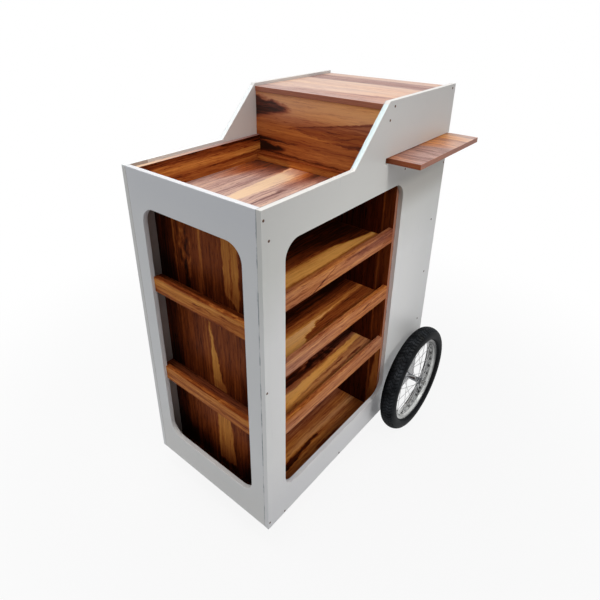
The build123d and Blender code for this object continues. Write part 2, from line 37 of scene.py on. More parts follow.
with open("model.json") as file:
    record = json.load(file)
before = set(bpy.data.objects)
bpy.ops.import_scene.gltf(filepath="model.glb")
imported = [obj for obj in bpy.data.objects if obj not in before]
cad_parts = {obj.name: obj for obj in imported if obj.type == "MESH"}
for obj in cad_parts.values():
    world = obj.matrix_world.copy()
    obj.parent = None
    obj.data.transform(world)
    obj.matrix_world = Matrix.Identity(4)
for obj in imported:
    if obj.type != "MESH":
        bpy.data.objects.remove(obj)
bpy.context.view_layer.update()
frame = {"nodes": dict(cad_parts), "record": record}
nodes = frame["nodes"]
MM = 0.001
SIDES = {"left": -1, "right": 1}
BOARD_AXES = "XYZ"
body_corner = {"X": 0.0, "Y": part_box("front_panel")[0].y, "Z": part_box("left_side_panel")[0].z}


# Wiring: nodes for shaders and patterns, with arithmetic on their outputs.


class Field:
    """A value that changes over a surface: one output of a node. Arithmetic adds Math nodes."""

    def __init__(self, wiring, socket):
        self.wiring = wiring
        self.socket = socket

    def output(self, name):
        return Field(self.wiring, self.socket.node.outputs[name])

    def math(self, operation, *others):
        return self.wiring.math(operation, self, *others)

    def clamped(self, low=0.0, high=1.0):
        return self.math("MAXIMUM", low).math("MINIMUM", high)

    def __add__(self, other):
        return self.math("ADD", other)

    def __sub__(self, other):
        return self.math("SUBTRACT", other)

    def __rsub__(self, other):
        return self.wiring.math("SUBTRACT", other, self)

    def __mul__(self, other):
        return self.math("MULTIPLY", other)

    def __truediv__(self, other):
        return self.math("DIVIDE", other)

    def __pow__(self, other):
        return self.math("POWER", other)

    def __abs__(self):
        return self.math("ABSOLUTE")

    __radd__ = __add__
    __rmul__ = __mul__


class Wiring:
    """A node tree that is filled one node at a time."""

    def __init__(self, tree):
        self.tree = tree

    def node(self, kind, settings=None, inputs=None, output=0):
        """Add a node, set it up, give its sockets values or links, and return one output."""
        made = self.tree.nodes.new(kind)
        for key, value in (settings or {}).items():
            if key == "stops":
                self.set_stops(made.color_ramp, value)
            else:
                setattr(made, key, value)
        for key, value in (inputs or {}).items():
            if isinstance(value, Field):
                self.tree.links.new(value.socket, made.inputs[key])
            else:
                made.inputs[key].default_value = value
        return Field(self, made.outputs[output])

    def math(self, operation, *values):
        return self.node("ShaderNodeMath", {"operation": operation}, dict(enumerate(values)))

    @staticmethod
    def set_stops(ramp, stops):
        """Stops are (place, colour) from 0 to 1, in order."""
        while len(ramp.elements) < len(stops):
            ramp.elements.new(1.0)
        for element, (place, colour) in zip(ramp.elements, stops):
            element.position = place
            element.color = colour


def opaque(red, green, blue):
    return (red, green, blue, 1.0)


def grey(value):
    return (value, value, value, 1.0)


class Finish(Wiring):
    """A procedural material on Object coordinates, with one Principled shader."""

    def __init__(self, name):
        self.material = bpy.data.materials.new(name)
        self.material.use_nodes = True
        super().__init__(self.material.node_tree)
        self.shader = self.tree.nodes["Principled BSDF"]
        place = self.node("ShaderNodeTexCoord", output="Object")
        split = self.node("ShaderNodeSeparateXYZ", inputs={0: place})
        self.axes = {axis: split.output(axis) for axis in BOARD_AXES}

    def noise(self, x, y, z, detail=2.0, roughness=0.5):
        """Noise around zero, at a place given in its own units."""
        place = self.node("ShaderNodeCombineXYZ", inputs={0: x, 1: y, 2: z})
        settings = {"Vector": place, "Scale": 1.0, "Detail": detail, "Roughness": roughness}
        return self.node("ShaderNodeTexNoise", inputs=settings) - 0.5

    def cloud(self, cells, detail=2.0, roughness=0.5):
        """Even noise around zero, with a number of cells to the metre."""
        return self.noise(*(self.axes[axis] * cells for axis in BOARD_AXES), detail, roughness)

    def ramp(self, value, stops):
        return self.node("ShaderNodeValToRGB", {"stops": stops}, {0: value})

    def step(self, value, low, high):
        """0 below low, 1 above high, smooth between."""
        settings = {"interpolation_type": "SMOOTHSTEP"}
        return self.node("ShaderNodeMapRange", settings, {"Value": value, 1: low, 2: high})

    def mix(self, share, first, second):
        inputs = {0: share, 6: first, 7: second}
        return self.node("ShaderNodeMix", {"data_type": "RGBA"}, inputs, output=2)

    def bump(self, height, strength, distance):
        inputs = {"Height": height, "Strength": strength, "Distance": distance}
        return self.node("ShaderNodeBump", inputs=inputs)

    def surface(self, **values):
        """Set the shader's sockets: underscores in a name stand for spaces."""
        for key, value in values.items():
            socket = self.shader.inputs[key.replace("_", " ")]
            if isinstance(value, Field):
                self.tree.links.new(value.socket, socket)
            else:
                socket.default_value = value
        return self.material


# Wood laminate: bands across each board, flames along the grain, knotty patches, streaks, dashes,
# fibres and edging. Places are millimetres in the body's frame: X from its middle, Y from its front
# face and Z from its bottom. A tone goes from 0, dark, to 1, pale. Mauve is the share of cooler
# wood, and on the deck, the top panel and the sliding board it is partly a painted sheen. Some
# tones and flames, the lift and the shade are painted light and shade, as noted at each board.

HONEY_WOOD = [
    (0.00, opaque(0.014, 0.003, 0.001)),
    (0.20, opaque(0.106, 0.018, 0.004)),
    (0.40, opaque(0.270, 0.058, 0.012)),
    (0.60, opaque(0.470, 0.140, 0.029)),
    (0.80, opaque(0.710, 0.285, 0.058)),
    (1.00, opaque(0.910, 0.440, 0.105)),
]
MAUVE_WOOD = [
    (0.00, opaque(0.042, 0.014, 0.010)),
    (0.20, opaque(0.140, 0.060, 0.052)),
    (0.40, opaque(0.295, 0.158, 0.136)),
    (0.60, opaque(0.470, 0.298, 0.255)),
    (0.80, opaque(0.640, 0.425, 0.325)),
    (1.00, opaque(0.810, 0.575, 0.370)),
]


@dataclass
class Flame:
    """A tapered patch of another tone. Each pair holds its start and its end along the grain. Its
    mauve goes on the board's own."""

    along: tuple
    middle: tuple
    half_width: tuple
    tone: float
    soft: float = 3.0
    mauve: float = 0.0


@dataclass
class Knots:
    """A knotty oval patch: its middle and half its size, along and across the grain."""

    along: float
    across: float
    half_length: float
    half_width: float


LOW, HIGH = 0, 1


@dataclass
class Edge:
    """A strip of edging on one face: the axis that the face is square to, and which of the board's
    two ends it is. The pair holds its tones at the low and the high end along the grain."""

    axis: str
    end: int
    tone: tuple = (0.48, 0.48)
    mauve: float = 0.1


@dataclass
class Figure:
    """How one board's grain runs. Bands are places across it with their tones. Shade is places along
    it with the painted shade that they take off the tone. Two pairs hold for its low and its high end
    along the grain: mauve, and lift, a painted light and shade which goes on the tone."""

    grain: str
    across: str
    bands: list
    flames: tuple = ()
    knots: Knots = None
    edges: tuple = ()
    swing: float = 14.0
    mauve: tuple = (-0.15, -0.15)
    lift: tuple = (0.0, 0.0)
    shade: tuple = ((0, 0.0), (1, 0.0))
    contrast: float = 1.0
    gloss: float = 0.04


def plain_bands(low, high, *tones):
    """The same distance between each tone and the next."""
    return [(low + (high - low) * place / (len(tones) - 1), tone) for place, tone in enumerate(tones)]


FIGURES = {
    # The deck's lift is painted light at the front and painted shade towards the riser, its shade is
    # painted shade at the riser, its mauve is partly a painted sheen at the front, and its first two
    # flames are painted shade by the left liner and the riser.
    "deck_panel": Figure(
        "Y", "X",
        [(-235, 0.34), (-206, 0.42), (-192, 0.62), (-168, 0.58), (-155, 0.76), (-146, 0.48), (-130, 0.50),
         (-118, 0.64), (-98, 0.48), (-84, 0.42), (-66, 0.56), (-10, 0.70), (16, 0.58), (27, 0.36),
         (45, 0.54), (56, 0.38), (70, 0.60), (110, 0.50), (150, 0.62), (235, 0.50)],
        (Flame((200, 560), (-196, -180), (30, 50), 0.50, 20, mauve=-0.6),
         Flame((350, 700), (-150, -150), (60, 80), 0.34, 30),
         Flame((90, 560), (-22, -44), (16, 42), 0.97, 5, mauve=0.3),
         Flame((425, 700), (-28, -44), (32, 46), 0.79, 12),
         Flame((380, 700), (125, 125), (85, 95), 0.42, 30, mauve=0.4),
         Flame((240, 470), (2, 4), (4, 8), 0.72, 6),
         Flame((310, 170), (33, 24), (6, 14), 0.64, 8),
         Flame((120, 330), (44, 40), (2, 7), 0.26)),
        swing=9, mauve=(3.5, -3.3), lift=(0.20, -0.22), contrast=1.4, gloss=0.55,
        shade=((420, 0.0), (490, 0.25)),
    ),
    # On the riser, the lift is painted shade towards the left panel, and the last flame, a dark line along
    # its foot, is painted shade over the rear strip.
    "riser_panel": Figure(
        "X", "Z",
        [(930, 0.54), (955, 0.49), (975, 0.64), (992, 0.59), (1004, 0.46), (1018, 0.58), (1040, 0.69),
         (1062, 0.60), (1078, 0.66), (1096, 0.82), (1125, 0.88), (1148, 0.80)],
        (Flame((-300, -88), (1100, 1104), (46, 8), 0.14, 13),
         Flame((-290, -130), (1108, 1108), (6, 2), 0.36, 8),
         Flame((-100, 300), (1050, 1066), (1, 54), 0.46, 4),
         Flame((40, 290), (1031, 1034), (1, 12), 0.20, 5),
         Flame((-80, 300), (1052, 1120), (1, 4), 0.28),
         Flame((60, 260), (1040, 1076), (1, 3), 0.28),
         Flame((-270, -60), (1003, 1001), (9, 2), 0.20, 5),
         Flame((-300, -115), (979, 975), (34, 6), 0.06, 8),
         Flame((-270, 190), (962, 954), (4, 2), 0.20, 4)),
        swing=10, mauve=(0.06, 0.15), lift=(-0.12, 0.01), contrast=0.65, gloss=0.24,
    ),
    # The top panel's mauve is partly a painted sheen.
    "top_panel": Figure(
        "X", "Y",
        [(501, 0.52), (528, 0.62), (548, 0.52), (572, 0.74), (600, 0.84), (640, 0.74), (662, 0.84),
         (700, 0.76), (732, 0.80), (760, 0.84), (770, 0.46), (800, 0.42), (828, 0.52), (850, 0.46),
         (860, 0.80), (906, 0.72)],
        (Flame((-120, 300), (556, 590), (4, 18), 0.54, 6),),
        edges=(Edge("Y", LOW, (0.42, 0.44), 0.25),),
        swing=10, mauve=(0.75, 0.75), gloss=0.42,
    ),
    # The left liner's top edging darkens towards the back, and its last two flames darken the back of its
    # top: painted shade by the riser.
    "tray_liner_left": Figure(
        "Y", "Z",
        [(930, 0.52), (945, 0.56), (955, 0.46), (961, 0.52), (968, 0.70), (981, 0.72), (988, 0.48),
         (997, 0.38), (1004, 0.34), (1012, 0.26)],
        (Flame((220, 540), (955, 965), (1, 4), 0.30),
         Flame((60, 250), (952, 948), (6, 1), 0.34),
         Flame((280, 70), (984, 990), (2, 9), 0.64, 6),
         Flame((320, 430), (1008, 1006), (3, 5), 0.14, 4),
         Flame((410, 540), (1008, 1000), (4, 14), 0.14, 6)),
        edges=(Edge("Z", HIGH, (1.0, 0.25), 1.0),),
        swing=6, mauve=(-0.3, -0.3),
    ),
    "front_niche_back": Figure(
        "Z", "X",
        [(-235, 0.12), (-170, 0.14), (-148, 0.24), (-118, 0.38), (-90, 0.30), (-68, 0.36), (-48, 0.48),
         (-36, 0.34), (0, 0.34), (20, 0.42), (40, 0.32), (62, 0.42), (86, 0.34), (106, 0.24), (130, 0.34),
         (160, 0.22), (235, 0.22)],
        (Flame((1000, 600), (-156, -152), (7, 3), 0.56, 5),
         Flame((1000, 700), (66, 72), (33, 27), 0.72, 4),
         Flame((740, 655), (72, 90), (26, 4), 0.72, 4),
         Flame((1000, 700), (72, 70), (3, 3), 0.48, 5),
         Flame((1000, 670), (-44, -40), (11, 3), 0.62, 5),
         Flame((600, 330), (-36, -8), (1, 26), 0.84, 4),
         Flame((380, 40), (-6, 12), (26, 40), 0.74, 5),
         Flame((760, 640), (-116, -104), (8, 16), 0.10, 8),
         Flame((520, 470), (8, 2), (4, 5), 0.26, 4),
         Flame((630, 90), (-164, -160), (18, 22), 0.29, 10)),
        knots=Knots(790, -112, 95, 34), swing=9, mauve=(-0.25, -0.25), contrast=0.8,
        shade=((45, 0.30), (120, 0.08), (185, 0.0), (320, 0.0), (345, 0.08), (400, 0.08), (480, 0.0),
               (650, 0.0), (665, 0.12), (705, 0.12), (780, 0.0)),
    ),
    # The rear divider's dark tones are partly dark wood and partly painted shade.
    "rear_divider": Figure(
        "Z", "X",
        [(-235, 0.14), (120, 0.11), (165, 0.15), (188, 0.18), (194, 0.48), (200, 0.26), (216, 0.22),
         (235, 0.34)],
        (Flame((360, 0), (228, 214), (4, 24), 0.60, 5),),
        edges=(Edge("X", HIGH, (0.56, 0.56), 0.4),),
        swing=10, mauve=(-0.3, -0.3), contrast=0.55,
    ),
    # The bottom panel's dark tones towards low X are partly dark wood and partly painted shade, and its
    # last flame is painted shade on the floor of the front niche.
    "bottom_panel": Figure(
        "Y", "X",
        [(-235, 0.16), (40, 0.22), (70, 0.40), (92, 0.52), (116, 0.62), (132, 0.80), (141, 0.62),
         (149, 0.54), (164, 0.66), (178, 0.58), (190, 0.46), (235, 0.50)],
        (Flame((375, 80), (143, 162), (4, 16), 0.12, 4),
         Flame((460, 330), (184, 184), (5, 8), 0.26, 8),
         Flame((95, -60), (0, 0), (260, 260), 0.02, 12, mauve=-0.3)),
        swing=10, mauve=(0.0, 0.0),
    ),
    # On the three side shelves, the dark tones towards low X, away from the side window, are partly dark
    # wood and partly painted shade.
    "side_shelf_upper": Figure(
        "Y", "X",
        [(-235, 0.06), (60, 0.06), (84, 0.14), (100, 0.22), (116, 0.33), (124, 0.50), (132, 0.86),
         (146, 0.95), (164, 0.97), (174, 0.97), (180, 0.60), (190, 0.52), (206, 0.44), (222, 0.50)],
        (Flame((380, 700), (100, 135), (14, 46), 0.14, 7),
         Flame((400, 620), (80, 92), (14, 34), 0.02, 9)),
        swing=8,
    ),
    "side_shelf_middle": Figure(
        "Y", "X",
        [(-235, 0.06), (60, 0.02), (72, 0.04), (92, 0.17), (100, 0.24), (110, 0.36), (118, 0.44),
         (126, 0.52), (134, 0.66), (140, 0.70), (147, 0.48), (152, 0.40), (170, 0.38), (196, 0.47),
         (222, 0.62)],
        (Flame((60, 350), (194, 147), (52, 4), 1.0, 5, mauve=0.2),
         Flame((180, 440), (160, 142), (18, 2), 0.95, 5, mauve=0.1),
         Flame((340, 700), (160, 166), (1, 4), 0.22, 4),
         Flame((330, 700), (184, 188), (2, 3), 0.50, 4),
         Flame((420, 700), (112, 106), (4, 10), 0.24, 8)),
        swing=7,
    ),
    "side_shelf_lower": Figure(
        "Y", "X",
        [(-235, 0.10), (88, 0.10), (106, 0.20), (118, 0.36), (130, 0.52), (144, 0.62), (156, 0.64),
         (168, 0.64), (185, 0.70), (200, 0.64), (222, 0.66)],
        (Flame((-100, 820), (177, 132), (24, 5), 0.97, 5, mauve=-0.2),
         Flame((440, 680), (108, 96), (22, 16), 0.06, 5),
         Flame((200, 450), (108, 118), (14, 14), 0.08, 5),
         Flame((360, 560), (192, 184), (2, 4), 0.34, 4),
         Flame((300, 480), (176, 172), (1, 3), 0.30, 4)),
        knots=Knots(410, 106, 110, 26), swing=8, mauve=(0.08, 0.08),
    ),
    # The sliding board's mauve is partly a painted sheen.
    "slide_board": Figure(
        "X", "Y",
        [(517, 0.44), (535, 0.52), (556, 0.46), (575, 0.42), (600, 0.50), (620, 0.56), (640, 0.46),
         (690, 0.42), (716, 0.48), (760, 0.58), (800, 0.58), (828, 0.70), (860, 0.72), (880, 0.60),
         (905, 0.58)],
        (Flame((180, 260), (660, 665), (50, 30), 0.34, 12),
         Flame((200, 430), (790, 800), (110, 52), 0.64, 6, mauve=-0.45),
         Flame((200, 430), (848, 852), (26, 22), 0.78, 6, mauve=-0.15)),
        edges=(Edge("X", HIGH, (0.46, 0.46), 0.2), Edge("Y", LOW, (0.38, 0.38), 0.0)),
        swing=14, mauve=(-3.4, 1.4), contrast=1.5, gloss=0.40,
    ),
    "slide_board_stop": Figure("Y", "Z", plain_bands(960, 1012, 0.50, 0.60, 0.48), swing=4),
    # The upper front lip's darker tones at its top are painted shade on its top face.
    "front_lip_upper": Figure(
        "X", "Z",
        [(653, 0.44), (663, 0.48), (671, 0.64), (690, 0.76), (699, 0.64), (700, 0.46), (701, 0.38)],
        (Flame((-70, 300), (674, 668), (2, 26), 0.58, 5),
         Flame((-20, 110), (682, 674), (2, 1), 0.28),
         Flame((-260, -30), (656, 654), (10, 2), 0.42, 5)),
        swing=6,
    ),
    "front_lip_lower": Figure(
        "X", "Z",
        [(330, 0.58), (338, 0.64), (350, 0.50), (357, 0.64), (372, 0.74), (376, 0.64), (378, 0.48)],
        swing=5,
    ),
    "board_guide_strip": Figure("X", "Y", plain_bands(500, 906, 0.48, 0.62, 0.50), swing=4),
}
LIP_STROKES = {
    "lower": (),
    "middle": (Flame((462, 500), (530, 540), (3, 4), 0.30), Flame((488, 524), (534, 546), (3, 2), 0.32)),
    "upper": (Flame((206, 266), (717, 738), (3, 3), 0.26), Flame((238, 312), (729, 758), (3, 2), 0.28),
              Flame((350, 650), (756, 744), (4, 24), 0.42, 6)),
}


def plain_board(node, grain, across, *tones, **rest):
    """Give a board bands at even distances over its whole width."""
    index = BOARD_AXES.index(across)
    low, high = ((corner[index] - body_corner[across]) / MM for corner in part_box(node))
    FIGURES[node] = Figure(grain, across, plain_bands(low, high, *tones), **rest)


LINER_EDGE = Edge("Z", HIGH, (0.72, 0.72), 0.5)
plain_board("tray_liner_right", "Y", "Z", 0.50, 0.66, 0.46, 0.60, edges=(LINER_EDGE,), swing=5)
plain_board("tray_liner_front", "X", "Z", 0.46, 0.60, 0.50, 0.66, edges=(LINER_EDGE,), swing=5)
# The rear strip's dark tone at its top is a painted shadow line.
plain_board("tray_rear_strip", "X", "Z", 0.54, 0.64, 0.60, 0.32, swing=4, mauve=(-0.2, -0.1), contrast=0.7)
for name, strokes in LIP_STROKES.items():
    lip_tones = (0.58, 0.66, 0.58, 0.68, 0.58)
    plain_board(f"side_lip_{name}", "Y", "Z", *lip_tones, flames=strokes, swing=4, mauve=(0.1, 0.1))
    plain_board(f"rear_shelf_{name}", "X", "Y", 0.42, 0.60, 0.36, 0.66, 0.44, 0.54)
for name in ("lower", "upper"):
    plain_board(f"front_shelf_{name}", "X", "Y", 0.32, 0.40, 0.26, swing=4)
for name in ("front", "rear"):
    FIGURES[f"board_runner_{name}"] = Figure("X", "Z", plain_bands(930, 1012, 0.44, 0.60, 0.48), swing=4)

# Cells to the millimetre, along the grain and across it
SLOW_CELLS = (0.0026, 0.010)
RAGGED_CELLS = (0.028, 0.060)
LICK_CELLS = (0.022, 0.05)
SWIRL_CELLS = (0.024, 0.060)
PATCH_CELLS = (0.0016, 0.009)
STREAK_CELLS = (0.006, 0.15)
DASH_CELLS = (0.022, 0.34)
FIBRE_CELLS = (0.05, 1.3)
EDGING_CELLS = (0.010, 0.30)

# How far bands and flames are bent, and how deep edging goes, in millimetres
RAGGED_WIDTH = 9.0
LICK_LENGTH = 60.0
LICK_WIDTH = 16.0
EDGE_DEPTH = 0.6

# How fast a flame widens from its ends, and where dashes and knotty patches begin and are full
END_TAPER = 0.5
DASH_NOISE = (0.06, 0.20)
KNOT_NOISE = (0.0, 0.4)

# What marks do to the tone and to the share of mauve. Pale wood is calmer than dark wood.
STREAK_TONE = 0.84
DASH_TONE = 0.24
FIBRE_TONE = 0.18
SWIRL_TONE = 1.6
SWIRL_LIGHTEST = 0.3
EDGING_TONE = 0.35
PATCH_MAUVE = 1.2
CALM_TONES = (0.58, 0.84)
CALM_STREAKS = 0.24
CALM_DASHES = 0.08
CALM_MAUVE = 0.12


class Board(Finish):
    """The wood laminate of one board, worked out from its figure."""

    def __init__(self, node, figure, seed):
        super().__init__(f"wood_{node}")
        self.figure = figure
        self.seed = seed
        self.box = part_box(node)
        grain, width = BOARD_AXES.index(figure.grain), BOARD_AXES.index(figure.across)
        place = [(self.axes[axis] - body_corner[axis]) / MM for axis in BOARD_AXES]
        self.along, self.across, self.deep = place[grain], place[width], place[3 - grain - width]
        low, high = self.box[LOW][grain], self.box[HIGH][grain]
        self.progress = (self.axes[figure.grain] - low) / (high - low)
        slow = self.grained(self.across, SLOW_CELLS, detail=1.0)
        ragged = self.grained(self.across, RAGGED_CELLS, detail=3.0, roughness=0.6)
        self.bent = self.across + slow * (2.0 * figure.swing) + ragged * RAGGED_WIDTH
        self.lick = self.grained(self.bent, LICK_CELLS, detail=4.0, roughness=0.6)

    def grained(self, across, cells, detail=2.0, roughness=0.5):
        """Noise drawn out along the grain."""
        lengthwise, crosswise = cells
        along = self.along * lengthwise + self.seed
        return self.noise(along, across * crosswise, self.deep * crosswise, detail, roughness)

    def between(self, ends):
        """One value at the board's low end along the grain and another at its high end."""
        return ends[LOW] + self.progress * (ends[HIGH] - ends[LOW])

    def graded(self, place, steps):
        """The value at a place, from pairs of a place and its value."""
        first, last = steps[0][0], steps[-1][0]
        stops = [((at - first) / (last - first), grey(value)) for at, value in steps]
        return self.ramp((place - first) / (last - first), stops)

    def inside_flame(self, flame):
        """1 inside a flame and 0 outside it. Its sides are soft and its ends rounded."""
        start, end = flame.along
        share = (self.along + self.lick * LICK_LENGTH - start) / (end - start)
        middle = flame.middle[0] + share * (flame.middle[1] - flame.middle[0])
        half_width = flame.half_width[0] + share * (flame.half_width[1] - flame.half_width[0])
        to_side = half_width - abs(self.bent + self.lick * LICK_WIDTH - middle)
        to_end = share.math("MINIMUM", 1 - share) * (END_TAPER * abs(end - start))
        depth = to_side.math("SMOOTH_MIN", to_end, 2 * flame.soft)
        return self.step(depth, -0.5 * flame.soft, flame.soft)

    def swirls(self, knots):
        """What a knotty patch adds to the tone."""
        far_along = (self.along - knots.along) / knots.half_length
        far_across = (self.across - knots.across) / knots.half_width
        inside = 1 - (far_along**2 + far_across**2) ** 0.5
        lengthwise, crosswise = SWIRL_CELLS
        along = self.along * lengthwise + self.seed
        swirl = self.noise(along, self.across * crosswise, self.seed, detail=3.0, roughness=0.6)
        share = self.step(inside + swirl, *KNOT_NOISE)
        return swirl.math("MINIMUM", SWIRL_LIGHTEST) * share * SWIRL_TONE

    def inside_edge(self, edge):
        """1 on a strip of edging and 0 elsewhere."""
        limit = self.box[edge.end][BOARD_AXES.index(edge.axis)]
        depth = abs(self.axes[edge.axis] - limit) / MM
        return 1 - self.step(depth, 0.5 * EDGE_DEPTH, EDGE_DEPTH)

    def edging(self, edge):
        """The tone of a strip of edging, with lines along it."""
        lengthwise, crosswise = EDGING_CELLS
        run = self.across if edge.axis == self.figure.grain else self.along
        lines = self.noise(run * lengthwise + self.seed, self.deep * crosswise, 0.0, detail=3.0)
        return self.between(edge.tone) + lines * EDGING_TONE


def wood_finish(node, figure, seed):
    """The wood laminate of one board. Both ends of its grain have edging."""
    board = Board(node, figure, seed)
    tone = board.graded(board.bent, figure.bands)
    patch = board.grained(board.across, PATCH_CELLS, detail=1.0)
    mauve = patch * PATCH_MAUVE + board.between(figure.mauve)
    for flame in figure.flames:
        inside = board.inside_flame(flame)
        tone = tone + (flame.tone - tone) * inside
        mauve = mauve + inside * flame.mauve
    if figure.knots:
        tone = tone + board.swirls(figure.knots)

    calm = board.step(tone, *CALM_TONES)
    mauve = mauve + calm * CALM_MAUVE
    streaks = board.grained(board.bent, STREAK_CELLS, detail=3.0, roughness=0.66)
    dashes = board.step(board.grained(board.bent, DASH_CELLS), *DASH_NOISE)
    fibres = board.grained(board.bent, FIBRE_CELLS)
    streak_tone = STREAK_TONE - CALM_STREAKS * calm
    dash_tone = DASH_TONE - CALM_DASHES * calm
    marks = streaks * streak_tone - dashes * dash_tone + fibres * FIBRE_TONE
    shade = board.graded(board.along, figure.shade)
    # The lift and the shade are painted light and shade.
    tone = tone + marks * figure.contrast + board.between(figure.lift) - shade

    for edge in (Edge(figure.grain, LOW), Edge(figure.grain, HIGH), *figure.edges):
        inside = board.inside_edge(edge)
        tone = tone + (board.edging(edge) - tone) * inside
        mauve = mauve + (edge.mauve - mauve) * inside
    tone = tone.clamped()
    colour = board.mix(mauve.clamped(), board.ramp(tone, HONEY_WOOD), board.ramp(tone, MAUVE_WOOD))
    return board.surface(
        Base_Color=colour,
        Roughness=0.42 + fibres * 0.12 + dashes * 0.10,
        Specular_IOR_Level=figure.gloss,
        Normal=board.bump(fibres - dashes, strength=0.22, distance=0.12 * MM),
    )


# White laminate: a white with painted light and shade that change with height, a faint mottle and
# scuffs. The side panels have painted shade inside the front niche and a cooler strip of painted
# light on their sloping edges. The right one has a painted shadow of the sliding board below the
# slot, and a chipped seam runs down the corner that it shares with the front panel. Heights are
# millimetres over the body's bottom.

BODY_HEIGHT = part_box("left_side_panel")[1].z - body_corner["Z"]
# Whites by height are painted light and shade: lighter, darker, warmer and cooler bands up each panel.
LEFT_WHITE_SHADING = [(60, opaque(0.770, 0.772, 0.768)), (1000, opaque(0.750, 0.740, 0.712))]
RIGHT_WHITE_SHADING = [
    (60, opaque(0.740, 0.733, 0.742)),
    (260, opaque(0.835, 0.827, 0.815)),
    (660, opaque(0.835, 0.827, 0.815)),
    (860, opaque(0.725, 0.718, 0.678)),
    (1100, opaque(0.730, 0.706, 0.675)),
]
FRONT_WHITE_SHADING = [
    (60, opaque(0.715, 0.702, 0.682)),
    (260, opaque(0.785, 0.787, 0.787)),
    (860, opaque(0.785, 0.787, 0.790)),
    (980, opaque(0.740, 0.744, 0.768)),
]
SCUFF_GREY = opaque(0.560, 0.570, 0.580)
SCUFF_CELLS = {"X": 90, "Y": 90, "Z": 14}
SCUFF_NOISE = (0.17, 0.30)
SCUFF_SHARE = 0.35
MOTTLE_SHARE = 0.12
SEAM_GREY = opaque(0.240, 0.255, 0.285)
NICHE_SHADE_GREY = opaque(0.450, 0.390, 0.355)
NICHE_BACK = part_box("front_niche_back")[0].y
INNER_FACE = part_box("right_side_panel")[0].x
OUTER_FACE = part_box("right_side_panel")[1].x
FACE_FADE = (0.2 * MM, 0.6 * MM)
RIM_HEIGHT = (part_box("front_panel")[1].z - body_corner["Z"]) / MM

# The lowest height of a cooler edge strip of painted light and its colour. The left one takes in the rim.
LEFT_EDGE_LIGHT = (RIM_HEIGHT - 6, opaque(0.880, 0.920, 0.920))
RIGHT_EDGE_LIGHT = (RIM_HEIGHT + 3, opaque(0.640, 0.755, 0.760))
STRIP_TOP = BODY_HEIGHT / MM - 5
STRIP_SIDE_FADE = (0.4 * MM, 1.2 * MM)
STRIP_END_FADE = 4

# The painted shadow of the sliding board, in millimetres below the board and behind its front end
SLIDE_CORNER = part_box("slide_board")[0]
SLOT_SHADOW_GREY = opaque(0.300, 0.260, 0.210)
SLOT_SHADOW_SHARE = 0.5
SLOT_SHADOW_TOP = (15, 95)
SLOT_SHADOW_BOTTOM = (110, 200)
SLOT_SHADOW_FRONT = (-15, 85)

# The seam's width in millimetres, what runs and chips add to it, and how far it wanders. Its cells are
# to the metre.
SEAM_WIDTH = 1.0
SEAM_WIDTHS = (0.3, 3.0)
SEAM_RUN_WIDTH = 0.9
SEAM_RUN_CELLS = 11
SEAM_RUN_START = 4.0
SEAM_RUN_NOISE = (-0.06, 0.04)
SEAM_CHIP_WIDTH = 3.0
SEAM_CHIP_CELLS = 120
SEAM_WANDER = 3.0 * MM
SEAM_WANDER_CELLS = 30
SEAM_SHARE = 0.38
SEAM_RUN_SHARE = 0.55


def niche_shade_mask(finish):
    """1 on a side panel's inner face within the front niche, where shade is painted, and 0 elsewhere."""
    inner = 1 - finish.step(abs(finish.axes["X"]) - INNER_FACE, *FACE_FADE)
    return inner * (1 - finish.step(finish.axes["Y"] - NICHE_BACK, 0.0, MM))


def on_edge_light(finish, lowest):
    """1 on a side panel's edge, from a height up to the raised top, where a cooler light is painted, and 0
    elsewhere.
    """
    out = abs(finish.axes["X"])
    past_inner = finish.step(out - INNER_FACE, *STRIP_SIDE_FADE)
    before_outer = finish.step(OUTER_FACE - out, *STRIP_SIDE_FADE)
    height = (finish.axes["Z"] - body_corner["Z"]) / MM
    above = finish.step(height, lowest, lowest + STRIP_END_FADE)
    below = finish.step(STRIP_TOP - height, 0, STRIP_END_FADE)
    return past_inner * before_outer * above * below


def slot_shadow(finish):
    """1 in a soft patch of painted shadow below the sliding board's slot, and 0 elsewhere."""
    drop = (SLIDE_CORNER.z - finish.axes["Z"]) / MM
    under = finish.step(drop, *SLOT_SHADOW_TOP) * (1 - finish.step(drop, *SLOT_SHADOW_BOTTOM))
    return under * finish.step((finish.axes["Y"] - SLIDE_CORNER.y) / MM, *SLOT_SHADOW_FRONT)


def seam_wear(finish, seam):
    """How worn a place is by the seam: a line that wanders, is wider in some runs, and is chipped."""
    height = finish.axes["Z"]
    wander = finish.noise(0, 0, height * SEAM_WANDER_CELLS, detail=3.0)
    run = finish.noise(0, 0, height * SEAM_RUN_CELLS + SEAM_RUN_START)
    runs = finish.step(run, *SEAM_RUN_NOISE)
    chips = finish.noise(0, 0, height * SEAM_CHIP_CELLS)
    width = (SEAM_WIDTH + runs * SEAM_RUN_WIDTH + chips * SEAM_CHIP_WIDTH).clamped(*SEAM_WIDTHS) * MM
    gap = abs(finish.axes["X"] - seam + wander * SEAM_WANDER)
    worn = 1 - finish.step(gap / width, 0.5, 1.0)
    return worn * (SEAM_SHARE + runs * SEAM_RUN_SHARE)


